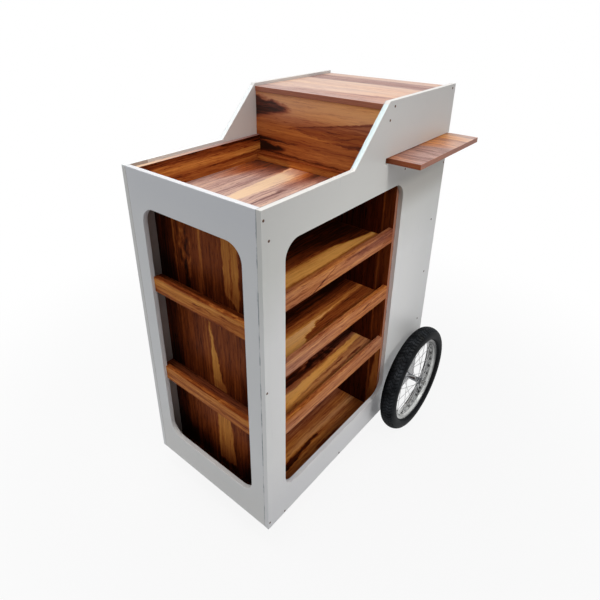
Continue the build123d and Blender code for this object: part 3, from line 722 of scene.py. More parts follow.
def white_finish(name, whites, strip=None, seam=None, with_slot_shadow=False):
    """The white laminate of one panel: its whites by height, which are painted light and shade, and what
    else it has.
    """
    finish = Finish(name)
    height = (finish.axes["Z"] - body_corner["Z"]) / BODY_HEIGHT
    # The whites by height are painted light and shade.
    colour = finish.ramp(height, [(level * MM / BODY_HEIGHT, white) for level, white in whites])
    mottle = finish.cloud(cells=6, detail=3.0)
    colour = finish.mix((0.5 + mottle * 1.3).clamped() * MOTTLE_SHARE, colour, SCUFF_GREY)
    scuff_place = (finish.axes[axis] * cells for axis, cells in SCUFF_CELLS.items())
    scuff = finish.step(finish.noise(*scuff_place, detail=3.0), *SCUFF_NOISE) * SCUFF_SHARE
    colour = finish.mix(scuff, colour, SCUFF_GREY)
    if strip is not None:
        lowest, strip_colour = strip
        # Painted shade on the side panels' inner faces inside the front niche.
        colour = finish.mix(niche_shade_mask(finish), colour, NICHE_SHADE_GREY)
        # A cooler strip of painted light on the sloping edges.
        colour = finish.mix(on_edge_light(finish, lowest), colour, strip_colour)
    if with_slot_shadow:
        # A painted shadow of the sliding board below its slot.
        colour = finish.mix(slot_shadow(finish) * SLOT_SHADOW_SHARE, colour, SLOT_SHADOW_GREY)
    if seam is not None:
        colour = finish.mix(seam_wear(finish, seam), colour, SEAM_GREY)
    grain = finish.cloud(cells=900)
    return finish.surface(
        Base_Color=colour,
        Roughness=0.40 + mottle * 0.12 + scuff * 0.4,
        Normal=finish.bump(grain, strength=0.10, distance=0.05 * MM),
    )


# Wheel sizes, for finishes and shapes. The left wheel is the mirror image of the right one.

WHEEL_LOW, WHEEL_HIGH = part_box("tyre_right")
RIM_LOW, RIM_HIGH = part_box("rim_right")
WHEEL_CENTRE = (WHEEL_LOW + WHEEL_HIGH) / 2
WHEEL_RADIUS = (WHEEL_HIGH.z - WHEEL_LOW.z) / 2
TYRE_HALF_WIDTH = (WHEEL_HIGH.x - WHEEL_LOW.x) / 2
RIM_RADIUS = (RIM_HIGH.z - RIM_LOW.z) / 2
RIM_HALF_WIDTH = (RIM_HIGH.x - RIM_LOW.x) / 2
RIM_BED = 147 * MM
NIPPLE_COUNT = 28
NIPPLE_LENGTH = 11 * MM
TREAD_DEPTH = 2.2 * MM
CROWN_HALF_WIDTH = 23.0 * MM
CROWN_DROP = 8.0 * MM


def from_axle(finish):
    """How far a place on a wheel is behind the line of the axle, and how far above it."""
    return finish.axes["Y"] - WHEEL_CENTRE.y, finish.axes["Z"] - WHEEL_CENTRE.z


def axle_distance(finish):
    """How far a place on a wheel is from the line of the axle."""
    behind, above = from_axle(finish)
    return (behind**2 + above**2) ** 0.5


def outboard(finish):
    """How far a place on a wheel is outside its middle plane. Towards the body it is negative."""
    return abs(finish.axes["X"]) - WHEEL_CENTRE.x


# Rubber, plastic and metal. A share says how much dust there is, or how dull the metal is.

PATCH_FINENESS = {"detail": 4.0, "roughness": 0.65}
SPECK_SHARE = 0.5

# Where tread tops, the tyre's side away from the body and brown dust begin and are full, and the
# dust that is left elsewhere. Less dust towards the body is painted shade.
TREAD_TOPS = (-0.7 * TREAD_DEPTH, -0.2 * TREAD_DEPTH)
LIT_SIDE = (-CROWN_HALF_WIDTH, 0.2 * CROWN_HALF_WIDTH)
BROWN_NOISE = (-0.05, 0.20)
GROOVE_DUST = 0.25
BODY_SIDE_SHADED_DUST = 0.05

# Where the rim's walls, its lips and the darker ring round a nipple begin and end, and how dull
# these, its patches and its top are. The dull walls and top are painted shade, the bright lips a
# painted highlight.
RIM_WALL = (RIM_BED + 2 * MM, RIM_BED + 5 * MM)
RIM_LIP = (RIM_RADIUS - 2.6 * MM, RIM_RADIUS - 1.4 * MM)
RIM_NIPPLE_RING = (3 * MM, 9 * MM)
RIM_PATCHES_DULL = 0.6
RIM_WALL_SHADE = 0.6
RIM_LIP_HIGHLIGHT = 1.3
RIM_NIPPLE_DARK = 1.1
RIM_TOP_SHADE = 0.55

NIPPLE_END = RIM_BED - NIPPLE_LENGTH
NIPPLES_DULL = 0.9
SPOKE_PATCHES_DULL = 0.5
METAL_DULL = 0.35
METAL_PATCHES_DULL = 1.6


def rubber_specks(finish):
    """Fine specks, and the bumps that they make."""
    specks = finish.cloud(cells=420)
    return specks, finish.bump(specks, strength=0.3, distance=0.25 * MM)


def tyre_finish(name, base, grey_dust, brown_dust):
    """Tyre rubber: dusty block tops, clean grooves and sidewalls, and less dust towards the body as
    painted shade.
    """
    finish = Finish(name)
    out = outboard(finish)
    crown = WHEEL_RADIUS - out**2 * (CROWN_DROP / CROWN_HALF_WIDTH**2)
    tops = finish.step(axle_distance(finish) - crown, *TREAD_TOPS)
    lit_side = finish.step(out, *LIT_SIDE)
    patches = finish.cloud(cells=30, **PATCH_FINENESS)
    specks, bumps = rubber_specks(finish)
    share = (0.40 + patches * 2.2 + specks * SPECK_SHARE).clamped()
    share = share * (GROOVE_DUST + tops * (1 - GROOVE_DUST))
    # Less dust towards the body is painted shade.
    share = share * (BODY_SIDE_SHADED_DUST + lit_side * (1 - BODY_SIDE_SHADED_DUST))
    brown = finish.step(finish.cloud(cells=9), *BROWN_NOISE)
    return finish.surface(
        Base_Color=finish.mix(share, base, finish.mix(brown, grey_dust, brown_dust)),
        Roughness=(0.50 + share * 0.30).clamped(),
        Specular_IOR_Level=0.05,
        Normal=bumps,
    )


def rubber_finish(name, base, dust):
    """Plain rubber with patches of dust."""
    finish = Finish(name)
    patches = finish.cloud(cells=14, **PATCH_FINENESS)
    specks, bumps = rubber_specks(finish)
    share = (0.25 + patches * 1.4 + specks * SPECK_SHARE).clamped()
    return finish.surface(
        Base_Color=finish.mix(share, base, dust),
        Roughness=(0.55 + share * 0.25).clamped(),
        Specular_IOR_Level=0.12,
        Normal=bumps,
    )


def rim_wear_and_shade(finish, share):
    """Dull patches, walls between the bed and the lips dulled as painted shade, lips brightened as a
    painted highlight, darker metal round each nipple, and a top dulled as painted shade.
    """
    radius = axle_distance(finish)
    wall = finish.step(radius, *RIM_WALL)
    lip = finish.step(radius, *RIM_LIP)
    behind, above = from_axle(finish)
    turn = finish.math("ARCTAN2", above, behind) * (NIPPLE_COUNT / math.tau)
    pitch = math.tau * RIM_BED / NIPPLE_COUNT
    past_nipple = (finish.math("FRACT", turn + 0.5) - 0.5) * pitch
    nipple_ring = 1 - finish.step((past_nipple**2 + outboard(finish) ** 2) ** 0.5, *RIM_NIPPLE_RING)
    # The walls' dullness is painted shade, the lips' brightness a painted highlight and the top's dullness
    # painted shade; the metal is also darker round each nipple.
    dull = share * RIM_PATCHES_DULL + wall * RIM_WALL_SHADE - lip * RIM_LIP_HIGHLIGHT
    return dull + nipple_ring * RIM_NIPPLE_DARK + above * (RIM_TOP_SHADE / RIM_RADIUS)


def spoke_wear(finish, share):
    """Spokes that stay bright as far as their dull nipples."""
    nipples = finish.step(axle_distance(finish), NIPPLE_END - MM, NIPPLE_END + MM)
    return share * SPOKE_PATCHES_DULL + nipples * NIPPLES_DULL


def metal_finish(name, base, dull, roughness, wear=None, metallic=1.0):
    """Plated or drawn metal with duller patches, which wear may move. A dusty one is less metallic."""
    finish = Finish(name)
    patches = finish.cloud(cells=35, **PATCH_FINENESS)
    grain = finish.cloud(cells=1600)
    share = METAL_DULL + patches * METAL_PATCHES_DULL
    if wear is not None:
        share = wear(finish, share)
    share = share.clamped()
    return finish.surface(
        Base_Color=finish.mix(share, base, dull),
        Metallic=metallic,
        Roughness=(roughness + share * 0.14 + grain * 0.10).clamped(0.05, 1.0),
        Normal=finish.bump(grain, strength=0.06, distance=0.05 * MM),
    )


def plastic_finish(name, base, pale):
    """Moulded plastic with a faint mottle and grain."""
    finish = Finish(name)
    mottle = finish.cloud(cells=60, detail=3.0)
    grain = finish.cloud(cells=1400, detail=1.0)
    return finish.surface(
        Base_Color=finish.mix((0.4 + mottle).clamped(), base, pale),
        Roughness=0.48 + mottle * 0.15,
        Normal=finish.bump(grain, strength=0.12, distance=0.05 * MM),
    )


RUBBER = tyre_finish(
    "tyre_rubber", opaque(0.0035, 0.004, 0.005), opaque(0.064, 0.070, 0.078), opaque(0.056, 0.054, 0.046)
)
CASTER_RUBBER = rubber_finish("caster_rubber", opaque(0.030, 0.030, 0.031), opaque(0.075, 0.073, 0.070))
CASTER_PLASTIC = plastic_finish("caster_plastic", opaque(0.020, 0.020, 0.021), opaque(0.034, 0.034, 0.035))
RIM_CHROME = metal_finish(
    "rim_chrome", opaque(0.65, 0.655, 0.64), grey(0.12), 0.20, rim_wear_and_shade, metallic=0.5
)
HUB_CHROME = metal_finish("hub_chrome", opaque(0.42, 0.43, 0.45), opaque(0.10, 0.105, 0.11), 0.20)
SPOKE_STEEL = metal_finish("spoke_steel", grey(0.60), grey(0.14), 0.28, spoke_wear)
ZINC_STEEL = metal_finish("zinc_steel", opaque(0.58, 0.58, 0.57), opaque(0.38, 0.38, 0.37), 0.30)
SCREW_BRONZE = metal_finish("screw_bronze", opaque(0.16, 0.08, 0.05), opaque(0.07, 0.035, 0.025), 0.38)
SLOT_FINISHES = {
    "tyre_rubber": RUBBER,
    "rim_chrome": RIM_CHROME,
    "hub_chrome": HUB_CHROME,
    "spoke_steel": SPOKE_STEEL,
    "zinc_steel": ZINC_STEEL,
    "caster_plastic": CASTER_PLASTIC,
    "caster_rubber": CASTER_RUBBER,
}


# Pieces


def linked(name, data):
    """An object in the scene, at the origin, for a mesh, a lamp or a camera."""
    thing = bpy.data.objects.new(name, data)
    bpy.context.scene.collection.objects.link(thing)
    return thing


def new_piece(name, shape, material):
    """A mesh object from a bmesh, with one material."""
    mesh = bpy.data.meshes.new(name)
    shape.to_mesh(mesh)
    shape.free()
    mesh.materials.append(material)
    return linked(name, mesh)


def stand_for(piece, node, body, slot):
    """Show a piece in place of a node, on the node's body. The slot is not used."""
    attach(piece, body)
    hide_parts(node)


WELD = 0.01 * MM
FLAT_ANGLE = math.radians(1)
SHARP_ANGLE = math.radians(30)
SQUARE_NORMAL = 0.9999


def eased_copy(node, ease, material):
    """A copy of a node with its sharp edges eased. Faces square to the axes stay flat."""
    shape = bmesh.new()
    shape.from_mesh(nodes[node].data)
    bmesh.ops.remove_doubles(shape, verts=shape.verts, dist=WELD)
    bmesh.ops.dissolve_limit(shape, angle_limit=FLAT_ANGLE, verts=shape.verts, edges=shape.edges)
    sharp = [edge for edge in shape.edges if edge.calc_face_angle(0) > SHARP_ANGLE]
    bmesh.ops.bevel(
        shape, geom=sharp, offset=ease, segments=2, profile=0.5, affect="EDGES", clamp_overlap=True
    )
    for face in shape.faces:
        face.smooth = max(abs(part) for part in face.normal) < SQUARE_NORMAL
    return new_piece(f"eased_{node}", shape, material)


WHITE_EASE = 1.2 * MM
WOOD_EASE = 0.7 * MM
NUT_EASE = 0.8 * MM
SEED_STEP = 7.3

record = frame["record"]
node_slot = {part["node"]: part["material_slot"] for part in record["subparts"]}
node_body = {node: body for body, members in record["behaviour"]["bodies"].items() for node in members}
WHITE_FINISHES = {
    "left_side_panel": white_finish("white_left", LEFT_WHITE_SHADING, LEFT_EDGE_LIGHT),
    "right_side_panel": white_finish("white_right", RIGHT_WHITE_SHADING, RIGHT_EDGE_LIGHT, INNER_FACE, with_slot_shadow=True),
    "front_panel": white_finish("white_front", FRONT_WHITE_SHADING, seam=INNER_FACE),
}
for seed, (node, slot) in enumerate(sorted(node_slot.items())):
    if slot == "white_laminate":
        piece = eased_copy(node, WHITE_EASE, WHITE_FINISHES[node])
    elif slot == "walnut_laminate":
        piece = eased_copy(node, WOOD_EASE, wood_finish(node, FIGURES[node], SEED_STEP * seed))
    elif node == "axle_nuts":
        piece = eased_copy(node, NUT_EASE, ZINC_STEEL)
    else:
        nodes[node].data.materials.clear()
        nodes[node].data.materials.append(SLOT_FINISHES[slot])
        continue
    stand_for(piece, node, node_body[node], slot)


# Patterns: trees that repeat a small shape, made into one plain mesh.


class Pattern(Wiring):
    """A geometry tree with named inputs, run once on an object and then turned into a plain mesh."""

    def __init__(self, name, inputs):
        super().__init__(bpy.data.node_groups.new(name, "GeometryNodeTree"))
        interface = self.tree.interface
        interface.new_socket("Geometry", in_out="OUTPUT", socket_type="NodeSocketGeometry")
        sockets = {"Geometry": "NodeSocketGeometry", **inputs, "Finish": "NodeSocketMaterial"}
        for label, kind in sockets.items():
            interface.new_socket(label, in_out="INPUT", socket_type=kind)
        self.inlet = self.tree.nodes.new("NodeGroupInput")

    def given(self, label):
        return Field(self, self.inlet.outputs[label])

    def close(self, instances):
        """Realize the instances, give them the finish and send them out."""
        solid = self.node("GeometryNodeRealizeInstances", inputs={0: instances})
        inputs = {"Geometry": solid, "Material": self.given("Finish")}
        done = self.node("GeometryNodeSetMaterial", inputs=inputs)
        outlet = self.tree.nodes.new("NodeGroupOutput")
        self.tree.links.new(done.socket, outlet.inputs[0])

    def grow(self, name, carrier, **values):
        """Run the tree on a carrier object, with its inputs by label, and keep the plain mesh."""
        modifier = carrier.modifiers.new(self.tree.name, "NODES")
        modifier.node_group = self.tree
        for item in self.tree.interface.items_tree:
            if item.in_out == "INPUT" and item.name in values:
                modifier[item.identifier] = values[item.name]
        seen = carrier.evaluated_get(bpy.context.evaluated_depsgraph_get())
        mesh = bpy.data.meshes.new_from_object(seen)
        carrier.modifiers.remove(modifier)
        bpy.data.objects.remove(carrier)
        return linked(name, mesh)


def ring_pattern():
    """Copies of a shape in a ring about a line along X through a centre."""
    pattern = Pattern("ring_of_copies", {"Count": "NodeSocketInt", "Centre": "NodeSocketVector"})
    points = pattern.node("GeometryNodePoints", inputs={"Count": pattern.given("Count")})
    copies = {"Points": points, "Instance": pattern.given("Geometry")}
    spread = pattern.node("GeometryNodeInstanceOnPoints", inputs=copies)
    turn = pattern.node("GeometryNodeInputIndex") / pattern.given("Count") * math.tau
    rotation = pattern.node("ShaderNodeCombineXYZ", inputs={0: turn})
    ring = {0: spread, "Rotation": rotation, "Pivot Point": pattern.given("Centre"), "Local Space": False}
    pattern.close(pattern.node("GeometryNodeRotateInstances", inputs=ring))
    return pattern


def head_pattern():
    """A screw head on each point, facing along the point's own 'facing' vector, spun at random."""
    pattern = Pattern("screw_heads", {"Head": "NodeSocketObject", "Seed": "NodeSocketInt"})
    chosen = {"Object": pattern.given("Head")}
    head = pattern.node("GeometryNodeObjectInfo", inputs=chosen, output="Geometry")
    vectors = {"data_type": "FLOAT_VECTOR"}
    facing = pattern.node("GeometryNodeInputNamedAttribute", vectors, {"Name": "facing"})
    upright = pattern.node("FunctionNodeAlignRotationToVector", {"axis": "Z"}, {"Vector": facing})
    full_turn = {"Min": 0.0, "Max": math.tau, "Seed": pattern.given("Seed")}
    turn = pattern.node("FunctionNodeRandomValue", {"data_type": "FLOAT"}, full_turn, output="Value")
    spin = pattern.node("ShaderNodeCombineXYZ", inputs={2: turn})
    local = {"rotation_space": "LOCAL"}
    rotation = pattern.node("FunctionNodeRotateRotation", local, {0: upright, 1: spin})
    points = pattern.node("GeometryNodeMeshToPoints", inputs={0: pattern.given("Geometry")})
    copies = {"Points": points, "Instance": head, "Rotation": rotation}
    pattern.close(pattern.node("GeometryNodeInstanceOnPoints", inputs=copies))
    return pattern


# Screws: low domed heads with a cross recess, on the side panels and under the caster plates.

HEAD_RADIUS = 3.6 * MM
HEAD_HEIGHT = 0.7 * MM
HEAD_SIDES = 16
RECESS_RADIUS = 1.9 * MM
RECESS_CORE = 0.5 * MM
RECESS_DEPTH = 0.9 * MM
RECESS_ARMS = 4
HEAD_SEED = 11


def sink_recess(shape, recess):
    """Put a floor under the recess, which is given as loops of corners, and walls round it."""
    sides = [(a, b) for corners in recess for a, b in zip(corners, (*corners[1:], corners[0]))]
    below = {}
    for corner, _ in sides:
        if corner not in below:
            below[corner] = shape.verts.new(corner.co - Vector((0, 0, RECESS_DEPTH)))
    for corners in recess:
        shape.faces.new([below[corner] for corner in corners])
    for a, b in sides:
        if (b, a) not in sides:
            shape.faces.new((a, b, below[b], below[a]))


def screw_head():
    """One head at the origin, facing along Z, with its rim let in below Z = 0."""
    shape = bmesh.new()
    profile = [
        (HEAD_RADIUS, -HEAD_HEIGHT),
        (HEAD_RADIUS, 0.15 * HEAD_HEIGHT),
        (0.8 * HEAD_RADIUS, 0.75 * HEAD_HEIGHT),
        (RECESS_RADIUS, HEAD_HEIGHT),
        (RECESS_CORE, HEAD_HEIGHT),
    ]
    rings = [
        [
            shape.verts.new((radius * math.cos(turn), radius * math.sin(turn), height))
            for turn in (math.tau * side / HEAD_SIDES for side in range(HEAD_SIDES))
        ]
        for radius, height in profile
    ]
    recess = [rings[-1]]
    for outer, inner in zip(rings, rings[1:]):
        for side in range(HEAD_SIDES):
            after = (side + 1) % HEAD_SIDES
            corners = (outer[side], outer[after], inner[after], inner[side])
            if inner is rings[-1] and side % (HEAD_SIDES // RECESS_ARMS) == 0:
                recess.append(corners)
            else:
                shape.faces.new(corners)
    sink_recess(shape, recess)
    return new_piece("head_shape", shape, SCREW_BRONZE)


# Distance from the front and height over the body's bottom, on each side panel
PANEL_SCREWS = [
    (7, 997), (23, 944), (7, 525), (7, 24), (74, 7), (363, 7), (624, 961), (899, 918), (863, 722),
    (863, 514), (863, 306), (527, 1156), (507, 1122), (886, 1160), (700, 7), (895, 7),
]
CASTER_SCREW_SPACING = 46 * MM
CASTER_PLATE_THICKNESS = 3 * MM


def place_heads(name, places, body):
    """Screw heads at (point, facing) places, as one piece."""
    shape = bmesh.new()
    facing = shape.verts.layers.float_vector.new("facing")
    for point, direction in places:
        shape.verts.new(point)[facing] = direction
    carrier = new_piece("head_places", shape, SCREW_BRONZE)
    head = screw_head()
    piece = head_pattern().grow(name, carrier, Head=head, Seed=HEAD_SEED, Finish=SCREW_BRONZE)
    bpy.data.objects.remove(head)
    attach(piece, body)


panel_places = []
caster_places = []
for side, sign in SIDES.items():
    low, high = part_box(f"{side}_side_panel")
    face = high.x if sign > 0 else low.x
    for distance, height in PANEL_SCREWS:
        point = (face, low.y + distance * MM, low.z + height * MM)
        panel_places.append((point, (sign, 0, 0)))
    low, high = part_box(f"caster_plate_{side}")
    middle = (low + high) / 2
    plate_low = high.z - CASTER_PLATE_THICKNESS
    for step_x in (-0.5, 0.5):
        for step_y in (-0.5, 0.5):
            x = middle.x + step_x * CASTER_SCREW_SPACING
            y = middle.y + step_y * CASTER_SCREW_SPACING
            caster_places.append(((x, y, plate_low), (0, 0, -1)))
place_heads("panel_screws", panel_places, "cart_body")
place_heads("caster_screws", caster_places, "cart_body")


# Wheels: a spun tyre with a chevron tread, and a spun rim with rolled lips.

SPIN_STEPS = 120
TREAD_EDGE = 22.0 * MM
TREAD_FLOOR_STEPS = 8
TREAD_PITCHES = 88
BLOCK_PARTS = 3
BLOCK_HEIGHT = 1.4 * TREAD_DEPTH
# Rows of blocks on one half, in millimetres: from and to off the middle plane, how far they lean back
# for each millimetre outwards, how far back they start, and their length
TREAD_ROWS = [(0.8, 10.4, 0.75, 0.0, 10.0), (12.2, 21.8, -0.55, 9.0, 8.6)]

TYRE_WALL = 3.5 * MM
TYRE_CROWN_WALL = 7 * MM
TYRE_SHOULDER_WALL = 9 * MM
WIDEST_RADIUS = WHEEL_RADIUS - 27 * MM
# The sidewall, in millimetres inside the tyre's widest place and above it
SIDEWALL = [(2.4, 13.5), (0.6, 7), (0, 0), (0.9, -6), (3.2, -11)]
BEAD_OUT = 16.4 * MM
BEAD_FLARE = (3.5 * MM, 2.2 * MM)
BEAD_TOP = RIM_RADIUS - 0.5 * MM
BEAD_FOOT = RIM_RADIUS - 7.5 * MM

RIM_WALL_THICKNESS = 1.8 * MM
RIM_LIP_RADIUS = 1.7 * MM
RIM_LIP_STEPS = 6
RIM_BED_HALF_WIDTH = 8 * MM
RIM_SLOPE_OUT = 13 * MM
RIM_SLOPE = RIM_BED + 2.5 * MM
RIM_WELL = RIM_BED + 6 * MM


def arc(centre, radius, start, end, steps):
    """Points on an arc, from one angle in degrees to another."""
    angles = [math.radians(start + (end - start) * step / steps) for step in range(steps + 1)]
    return [(centre[0] + radius * math.cos(a), centre[1] + radius * math.sin(a)) for a in angles]


def crown_radius(out):
    """The tyre's radius at a distance from its middle plane, over the tread."""
    bend = (CROWN_HALF_WIDTH**2 + CROWN_DROP**2) / (2 * CROWN_DROP)
    return WHEEL_RADIUS - bend + math.sqrt(bend**2 - out**2)


def wheel_point(centre, out, radius, turn):
    """A place on a wheel: off its middle plane, at a radius, and at an angle about the axle."""
    return (centre.x + out, centre.y + radius * math.cos(turn), centre.z + radius * math.sin(turn))


def spun(name, profile, centre, material):
    """A closed ring about the axle from a closed profile of (off the middle plane, radius)."""
    shape = bmesh.new()
    rings = []
    for step in range(SPIN_STEPS):
        turn = math.tau * step / SPIN_STEPS
        rings.append([shape.verts.new(wheel_point(centre, out, radius, turn)) for out, radius in profile])
    for step in range(SPIN_STEPS):
        near, far = rings[step], rings[(step + 1) % SPIN_STEPS]
        for place in range(len(profile)):
            after = (place + 1) % len(profile)
            shape.faces.new((near[place], far[place], far[after], near[after]))
    bmesh.ops.recalc_face_normals(shape, faces=shape.faces)
    for face in shape.faces:
        face.smooth = True
    for edge in shape.edges:
        edge.smooth = edge.calc_face_angle(0) < SHARP_ANGLE
    return new_piece(name, shape, material)


def mirrored(half):
    """A closed profile from its right half, which starts and ends on the middle plane."""
    return half + [(-out, radius) for out, radius in reversed(half) if out > 0]


def tread_block(shape, centre, start, end, slant, back, length):
    """A tread block from one distance off the middle plane to another, slanted along the tread."""
    sections = []
    for part in range(BLOCK_PARTS + 1):
        out = start + (end - start) * (part / BLOCK_PARTS)
        top = crown_radius(out)
        section = []
        for along in (0, length):
            turn = (back + slant * abs(out - start) + along) / WHEEL_RADIUS
            for radius in (top - BLOCK_HEIGHT, top):
                section.append(shape.verts.new(wheel_point(centre, out, radius, turn)))
        sections.append(section)
    near_low, near_top, far_low, far_top = range(4)
    sides = ((near_top, far_top), (near_low, near_top), (far_low, far_top), (near_low, far_low))
    for section, after in zip(sections, sections[1:]):
        for first, second in sides:
            shape.faces.new((section[first], section[second], after[second], after[first]))
    for section in (sections[0], sections[-1]):
        shape.faces.new([section[corner] for corner in (near_low, near_top, far_top, far_low)])


def tread_pitch(centre):
    """One pitch of the tread: each row's block on both halves, half a block apart."""
    shape = bmesh.new()
    for row in TREAD_ROWS:
        start, end, slant, back, length = row
        for way in (-1, 1):
            shift = length * 0.5 if way < 0 else 0
            places = (way * start * MM, way * end * MM, slant, (back + shift) * MM, length * MM)
            tread_block(shape, centre, *places)
    bmesh.ops.recalc_face_normals(shape, faces=shape.faces)
    return new_piece("tread_pitch", shape, RUBBER)


def tyre_profile():
    """Right half of the tyre's wall: tread floor, shoulder, sidewall, bead, and back inside."""
    floor = [
        (out, crown_radius(out) - TREAD_DEPTH)
        for out in (TREAD_EDGE * step / TREAD_FLOOR_STEPS for step in range(TREAD_FLOOR_STEPS + 1))
    ]
    shoulder = (CROWN_HALF_WIDTH, crown_radius(CROWN_HALF_WIDTH) - 0.4 * MM)
    side = [(TYRE_HALF_WIDTH - inside * MM, WIDEST_RADIUS + above * MM) for inside, above in SIDEWALL]
    flare_out, flare_up = BEAD_FLARE
    bead = [(BEAD_OUT + flare_out, RIM_RADIUS + flare_up), (BEAD_OUT, BEAD_TOP), (BEAD_OUT, BEAD_FOOT)]
    inside = [
        (BEAD_OUT - TYRE_WALL, BEAD_FOOT),
        (BEAD_OUT - TYRE_WALL, RIM_RADIUS),
        (TYRE_HALF_WIDTH - TYRE_WALL - MM, WIDEST_RADIUS),
        (0.5 * TYRE_HALF_WIDTH, WHEEL_RADIUS - TYRE_SHOULDER_WALL),
        (0, WHEEL_RADIUS - TYRE_CROWN_WALL),
    ]
    return [*floor, shoulder, *side, *bead, *inside]


def rim_profile():
    """Right half of the rim: bed, slope, side wall and rolled lip, then back down the well."""
    lip_centre = (RIM_HALF_WIDTH - RIM_LIP_RADIUS, RIM_RADIUS - RIM_LIP_RADIUS)
    return [
        (0, RIM_BED),
        (RIM_BED_HALF_WIDTH, RIM_BED),
        (RIM_BED_HALF_WIDTH + 2.5 * MM, RIM_BED + 0.8 * MM),
        (RIM_SLOPE_OUT, RIM_SLOPE),
        (RIM_SLOPE_OUT + 3 * MM, RIM_SLOPE + 1.6 * MM),
        (RIM_HALF_WIDTH - 0.8 * MM, RIM_WELL - 1.2 * MM),
        (RIM_HALF_WIDTH, RIM_WELL),
        *arc(lip_centre, RIM_LIP_RADIUS, 0, 180, RIM_LIP_STEPS),
        (RIM_HALF_WIDTH - 2 * RIM_LIP_RADIUS, RIM_WELL + RIM_WALL_THICKNESS),
        (RIM_SLOPE_OUT - RIM_WALL_THICKNESS / 2, RIM_SLOPE + RIM_WALL_THICKNESS),
        (RIM_BED_HALF_WIDTH, RIM_BED + RIM_WALL_THICKNESS),
        (0, RIM_BED + RIM_WALL_THICKNESS),
    ]


for side, sign in SIDES.items():
    centre = Vector((sign * WHEEL_CENTRE.x, WHEEL_CENTRE.y, WHEEL_CENTRE.z))
    body = f"wheel_{side}"

    tyre = spun(f"tyre_wall_{side}", mirrored(tyre_profile()), centre, RUBBER)
    stand_for(tyre, f"tyre_{side}", body, "tyre_rubber")

    tread = ring_pattern().grow(
        f"tyre_tread_{side}", tread_pitch(centre), Count=TREAD_PITCHES, Centre=centre, Finish=RUBBER
    )
    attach(tread, body)

    rim = spun(f"rim_ring_{side}", mirrored(rim_profile()), centre, RIM_CHROME)
    stand_for(rim, f"rim_{side}", body, "rim_chrome")


# Studio: a white floor that keeps a soft shadow, a white surround and soft lamps.


def seen_directly(wiring):
    """1 for what the camera sees directly, in a mirror or through glass."""
    path = wiring.node("ShaderNodeLightPath", output="Is Camera Ray")
    return (path + path.output("Is Glossy Ray") + path.output("Is Transmission Ray")).clamped()


FLOOR_SIZE = 12.0
FLOOR_GLOW = 0.90
FLOOR_NEAR = 0.7
FLOOR_FAR = 1.9
FLOOR_PALE = grey(0.52)
FLOOR_DARK = grey(0.36)
FLOOR_DROP = 0.2 * MM


def make_floor():
    """A floor that looks white and still shows the cart's shadow."""
    shape = bmesh.new()
    bmesh.ops.create_grid(shape, x_segments=1, y_segments=1, size=FLOOR_SIZE)
    bmesh.ops.translate(shape, verts=shape.verts, vec=(0, 0, -FLOOR_DROP))
    finish = Finish("studio_floor")
    distance = (finish.axes["X"] ** 2 + finish.axes["Y"] ** 2) ** 0.5
    far = finish.step(distance, FLOOR_NEAR, FLOOR_FAR)
    colour = finish.mix(far, FLOOR_PALE, FLOOR_DARK)
    finish.surface(Base_Color=colour, Roughness=0.9, Specular_IOR_Level=0.1)
    glow = finish.node("ShaderNodeEmission", inputs={"Color": grey(1.0), "Strength": 1.0})
    plain = Field(finish, finish.shader.outputs[0])
    share = seen_directly(finish) * (FLOOR_GLOW + far * (1 - FLOOR_GLOW))
    mixed = finish.node("ShaderNodeMixShader", inputs={0: share, 1: plain, 2: glow})
    finish.tree.links.new(mixed.socket, finish.tree.nodes["Material Output"].inputs["Surface"])
    floor = new_piece("studio_floor", shape, finish.material)


WARM_WHITE = (1.0, 0.98, 0.955)
HORIZON_COLOUR = opaque(0.205, 0.220, 0.235)
ZENITH_COLOUR = opaque(0.76, 0.78, 0.80)


def make_surround():
    """White to the eye; as light it is brighter overhead than at the horizon."""
    world = bpy.data.worlds.new("studio_surround")
    bpy.context.scene.world = world
    world.use_nodes = True
    wiring = Wiring(world.node_tree)
    direction = wiring.node("ShaderNodeTexCoord", output="Generated")
    height = wiring.node("ShaderNodeSeparateXYZ", inputs={0: direction}).output("Z")
    stops = [(0.0, HORIZON_COLOUR), (1.0, ZENITH_COLOUR)]
    dome = wiring.node("ShaderNodeValToRGB", {"stops": stops}, {0: height.clamped()})
    ambient = wiring.node("ShaderNodeBackground", inputs={"Color": dome, "Strength": 1.0})
    white = wiring.node("ShaderNodeBackground", inputs={"Color": grey(1.0), "Strength": 1.0})
    shares = {0: seen_directly(wiring), 1: ambient, 2: white}
    mixed = wiring.node("ShaderNodeMixShader", inputs=shares)
    world.node_tree.links.new(mixed.socket, world.node_tree.nodes["World Output"].inputs["Surface"])


def hang(light, place, target, power, in_mirrors=True):
    """Put a lamp in its place and aim it. A lamp may be left out of reflections."""
    light.energy = power
    light.color = WARM_WHITE
    thing = linked(light.name, light)
    thing.visible_glossy = in_mirrors
    thing.location = place
    thing.rotation_euler = (Vector(target) - Vector(place)).to_track_quat("-Z", "Y").to_euler()


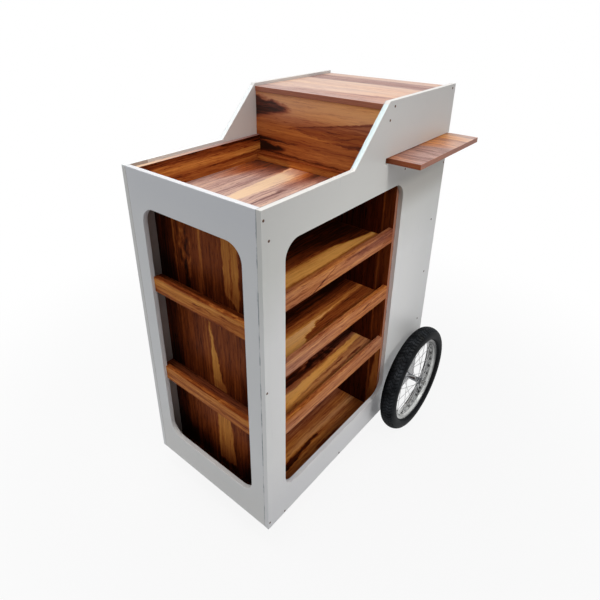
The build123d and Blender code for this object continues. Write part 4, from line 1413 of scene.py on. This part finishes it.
def soft_box(name, size):
    """A square lamp with an even, soft light."""
    light = bpy.data.lights.new(name, "AREA")
    light.shape = "SQUARE"
    light.size = size
    return light


def soft_spot(name, radius, cone):
    """A round lamp whose light fades from the middle of its cone, in degrees, to the cone's side."""
    light = bpy.data.lights.new(name, "SPOT")
    light.shadow_soft_size = radius
    light.spot_size = math.radians(cone)
    light.spot_blend = 1.0
    return light


# Camera: solved from the straight edges of the body in a 600 by 600 picture
CAMERA_PLACE = (0.910386, -1.177969, 1.503798)
CAMERA_RIGHT = Vector((0.76353, 0.64577, 0.00130))
CAMERA_DOWN = Vector((0.29363, -0.34538, -0.89134))
CAMERA_FORWARD = Vector((-0.57515, 0.68095, -0.45333))
CAMERA_SENSOR = 36.0
CAMERA_LENS = 30.129
CAMERA_SHIFT = (0.02078, -0.07955)
CAMERA_NEAR = 0.05


def make_camera():
    """A camera at the photograph's viewing angle, with everything in focus."""
    camera = bpy.data.cameras.new("photo_camera")
    camera.sensor_width = CAMERA_SENSOR
    camera.lens = CAMERA_LENS
    camera.shift_x, camera.shift_y = CAMERA_SHIFT
    camera.clip_start = CAMERA_NEAR
    thing = linked("photo_camera", camera)
    turn = Matrix((CAMERA_RIGHT, -CAMERA_DOWN, -CAMERA_FORWARD)).transposed()
    thing.matrix_world = Matrix.Translation(CAMERA_PLACE) @ turn.to_4x4()
    bpy.context.scene.camera = thing


make_floor()
make_surround()
hang(soft_box("key_lamp", size=2.0), place=(4.2, 0.20, 6.6), target=(0.15, 0.0, 0.6), power=26.0)
hang(soft_box("top_lamp", size=1.6), place=(-0.25, -0.65, 3.9), target=(0.0, -0.1, 0.9), power=49.0)
hang(
    soft_box("fill_lamp", size=3.0),
    place=(-4.2, 3.2, 1.5), target=(0.0, 0.0, 0.6), power=80.0, in_mirrors=False,
)
hang(
    soft_spot("window_spot", radius=0.45, cone=28.0),
    place=(2.2, -0.25, 2.5), target=(0.2, -0.08, 0.56), power=155.0, in_mirrors=False,
)
make_camera()
bpy.context.scene.view_settings.view_transform = "Standard"
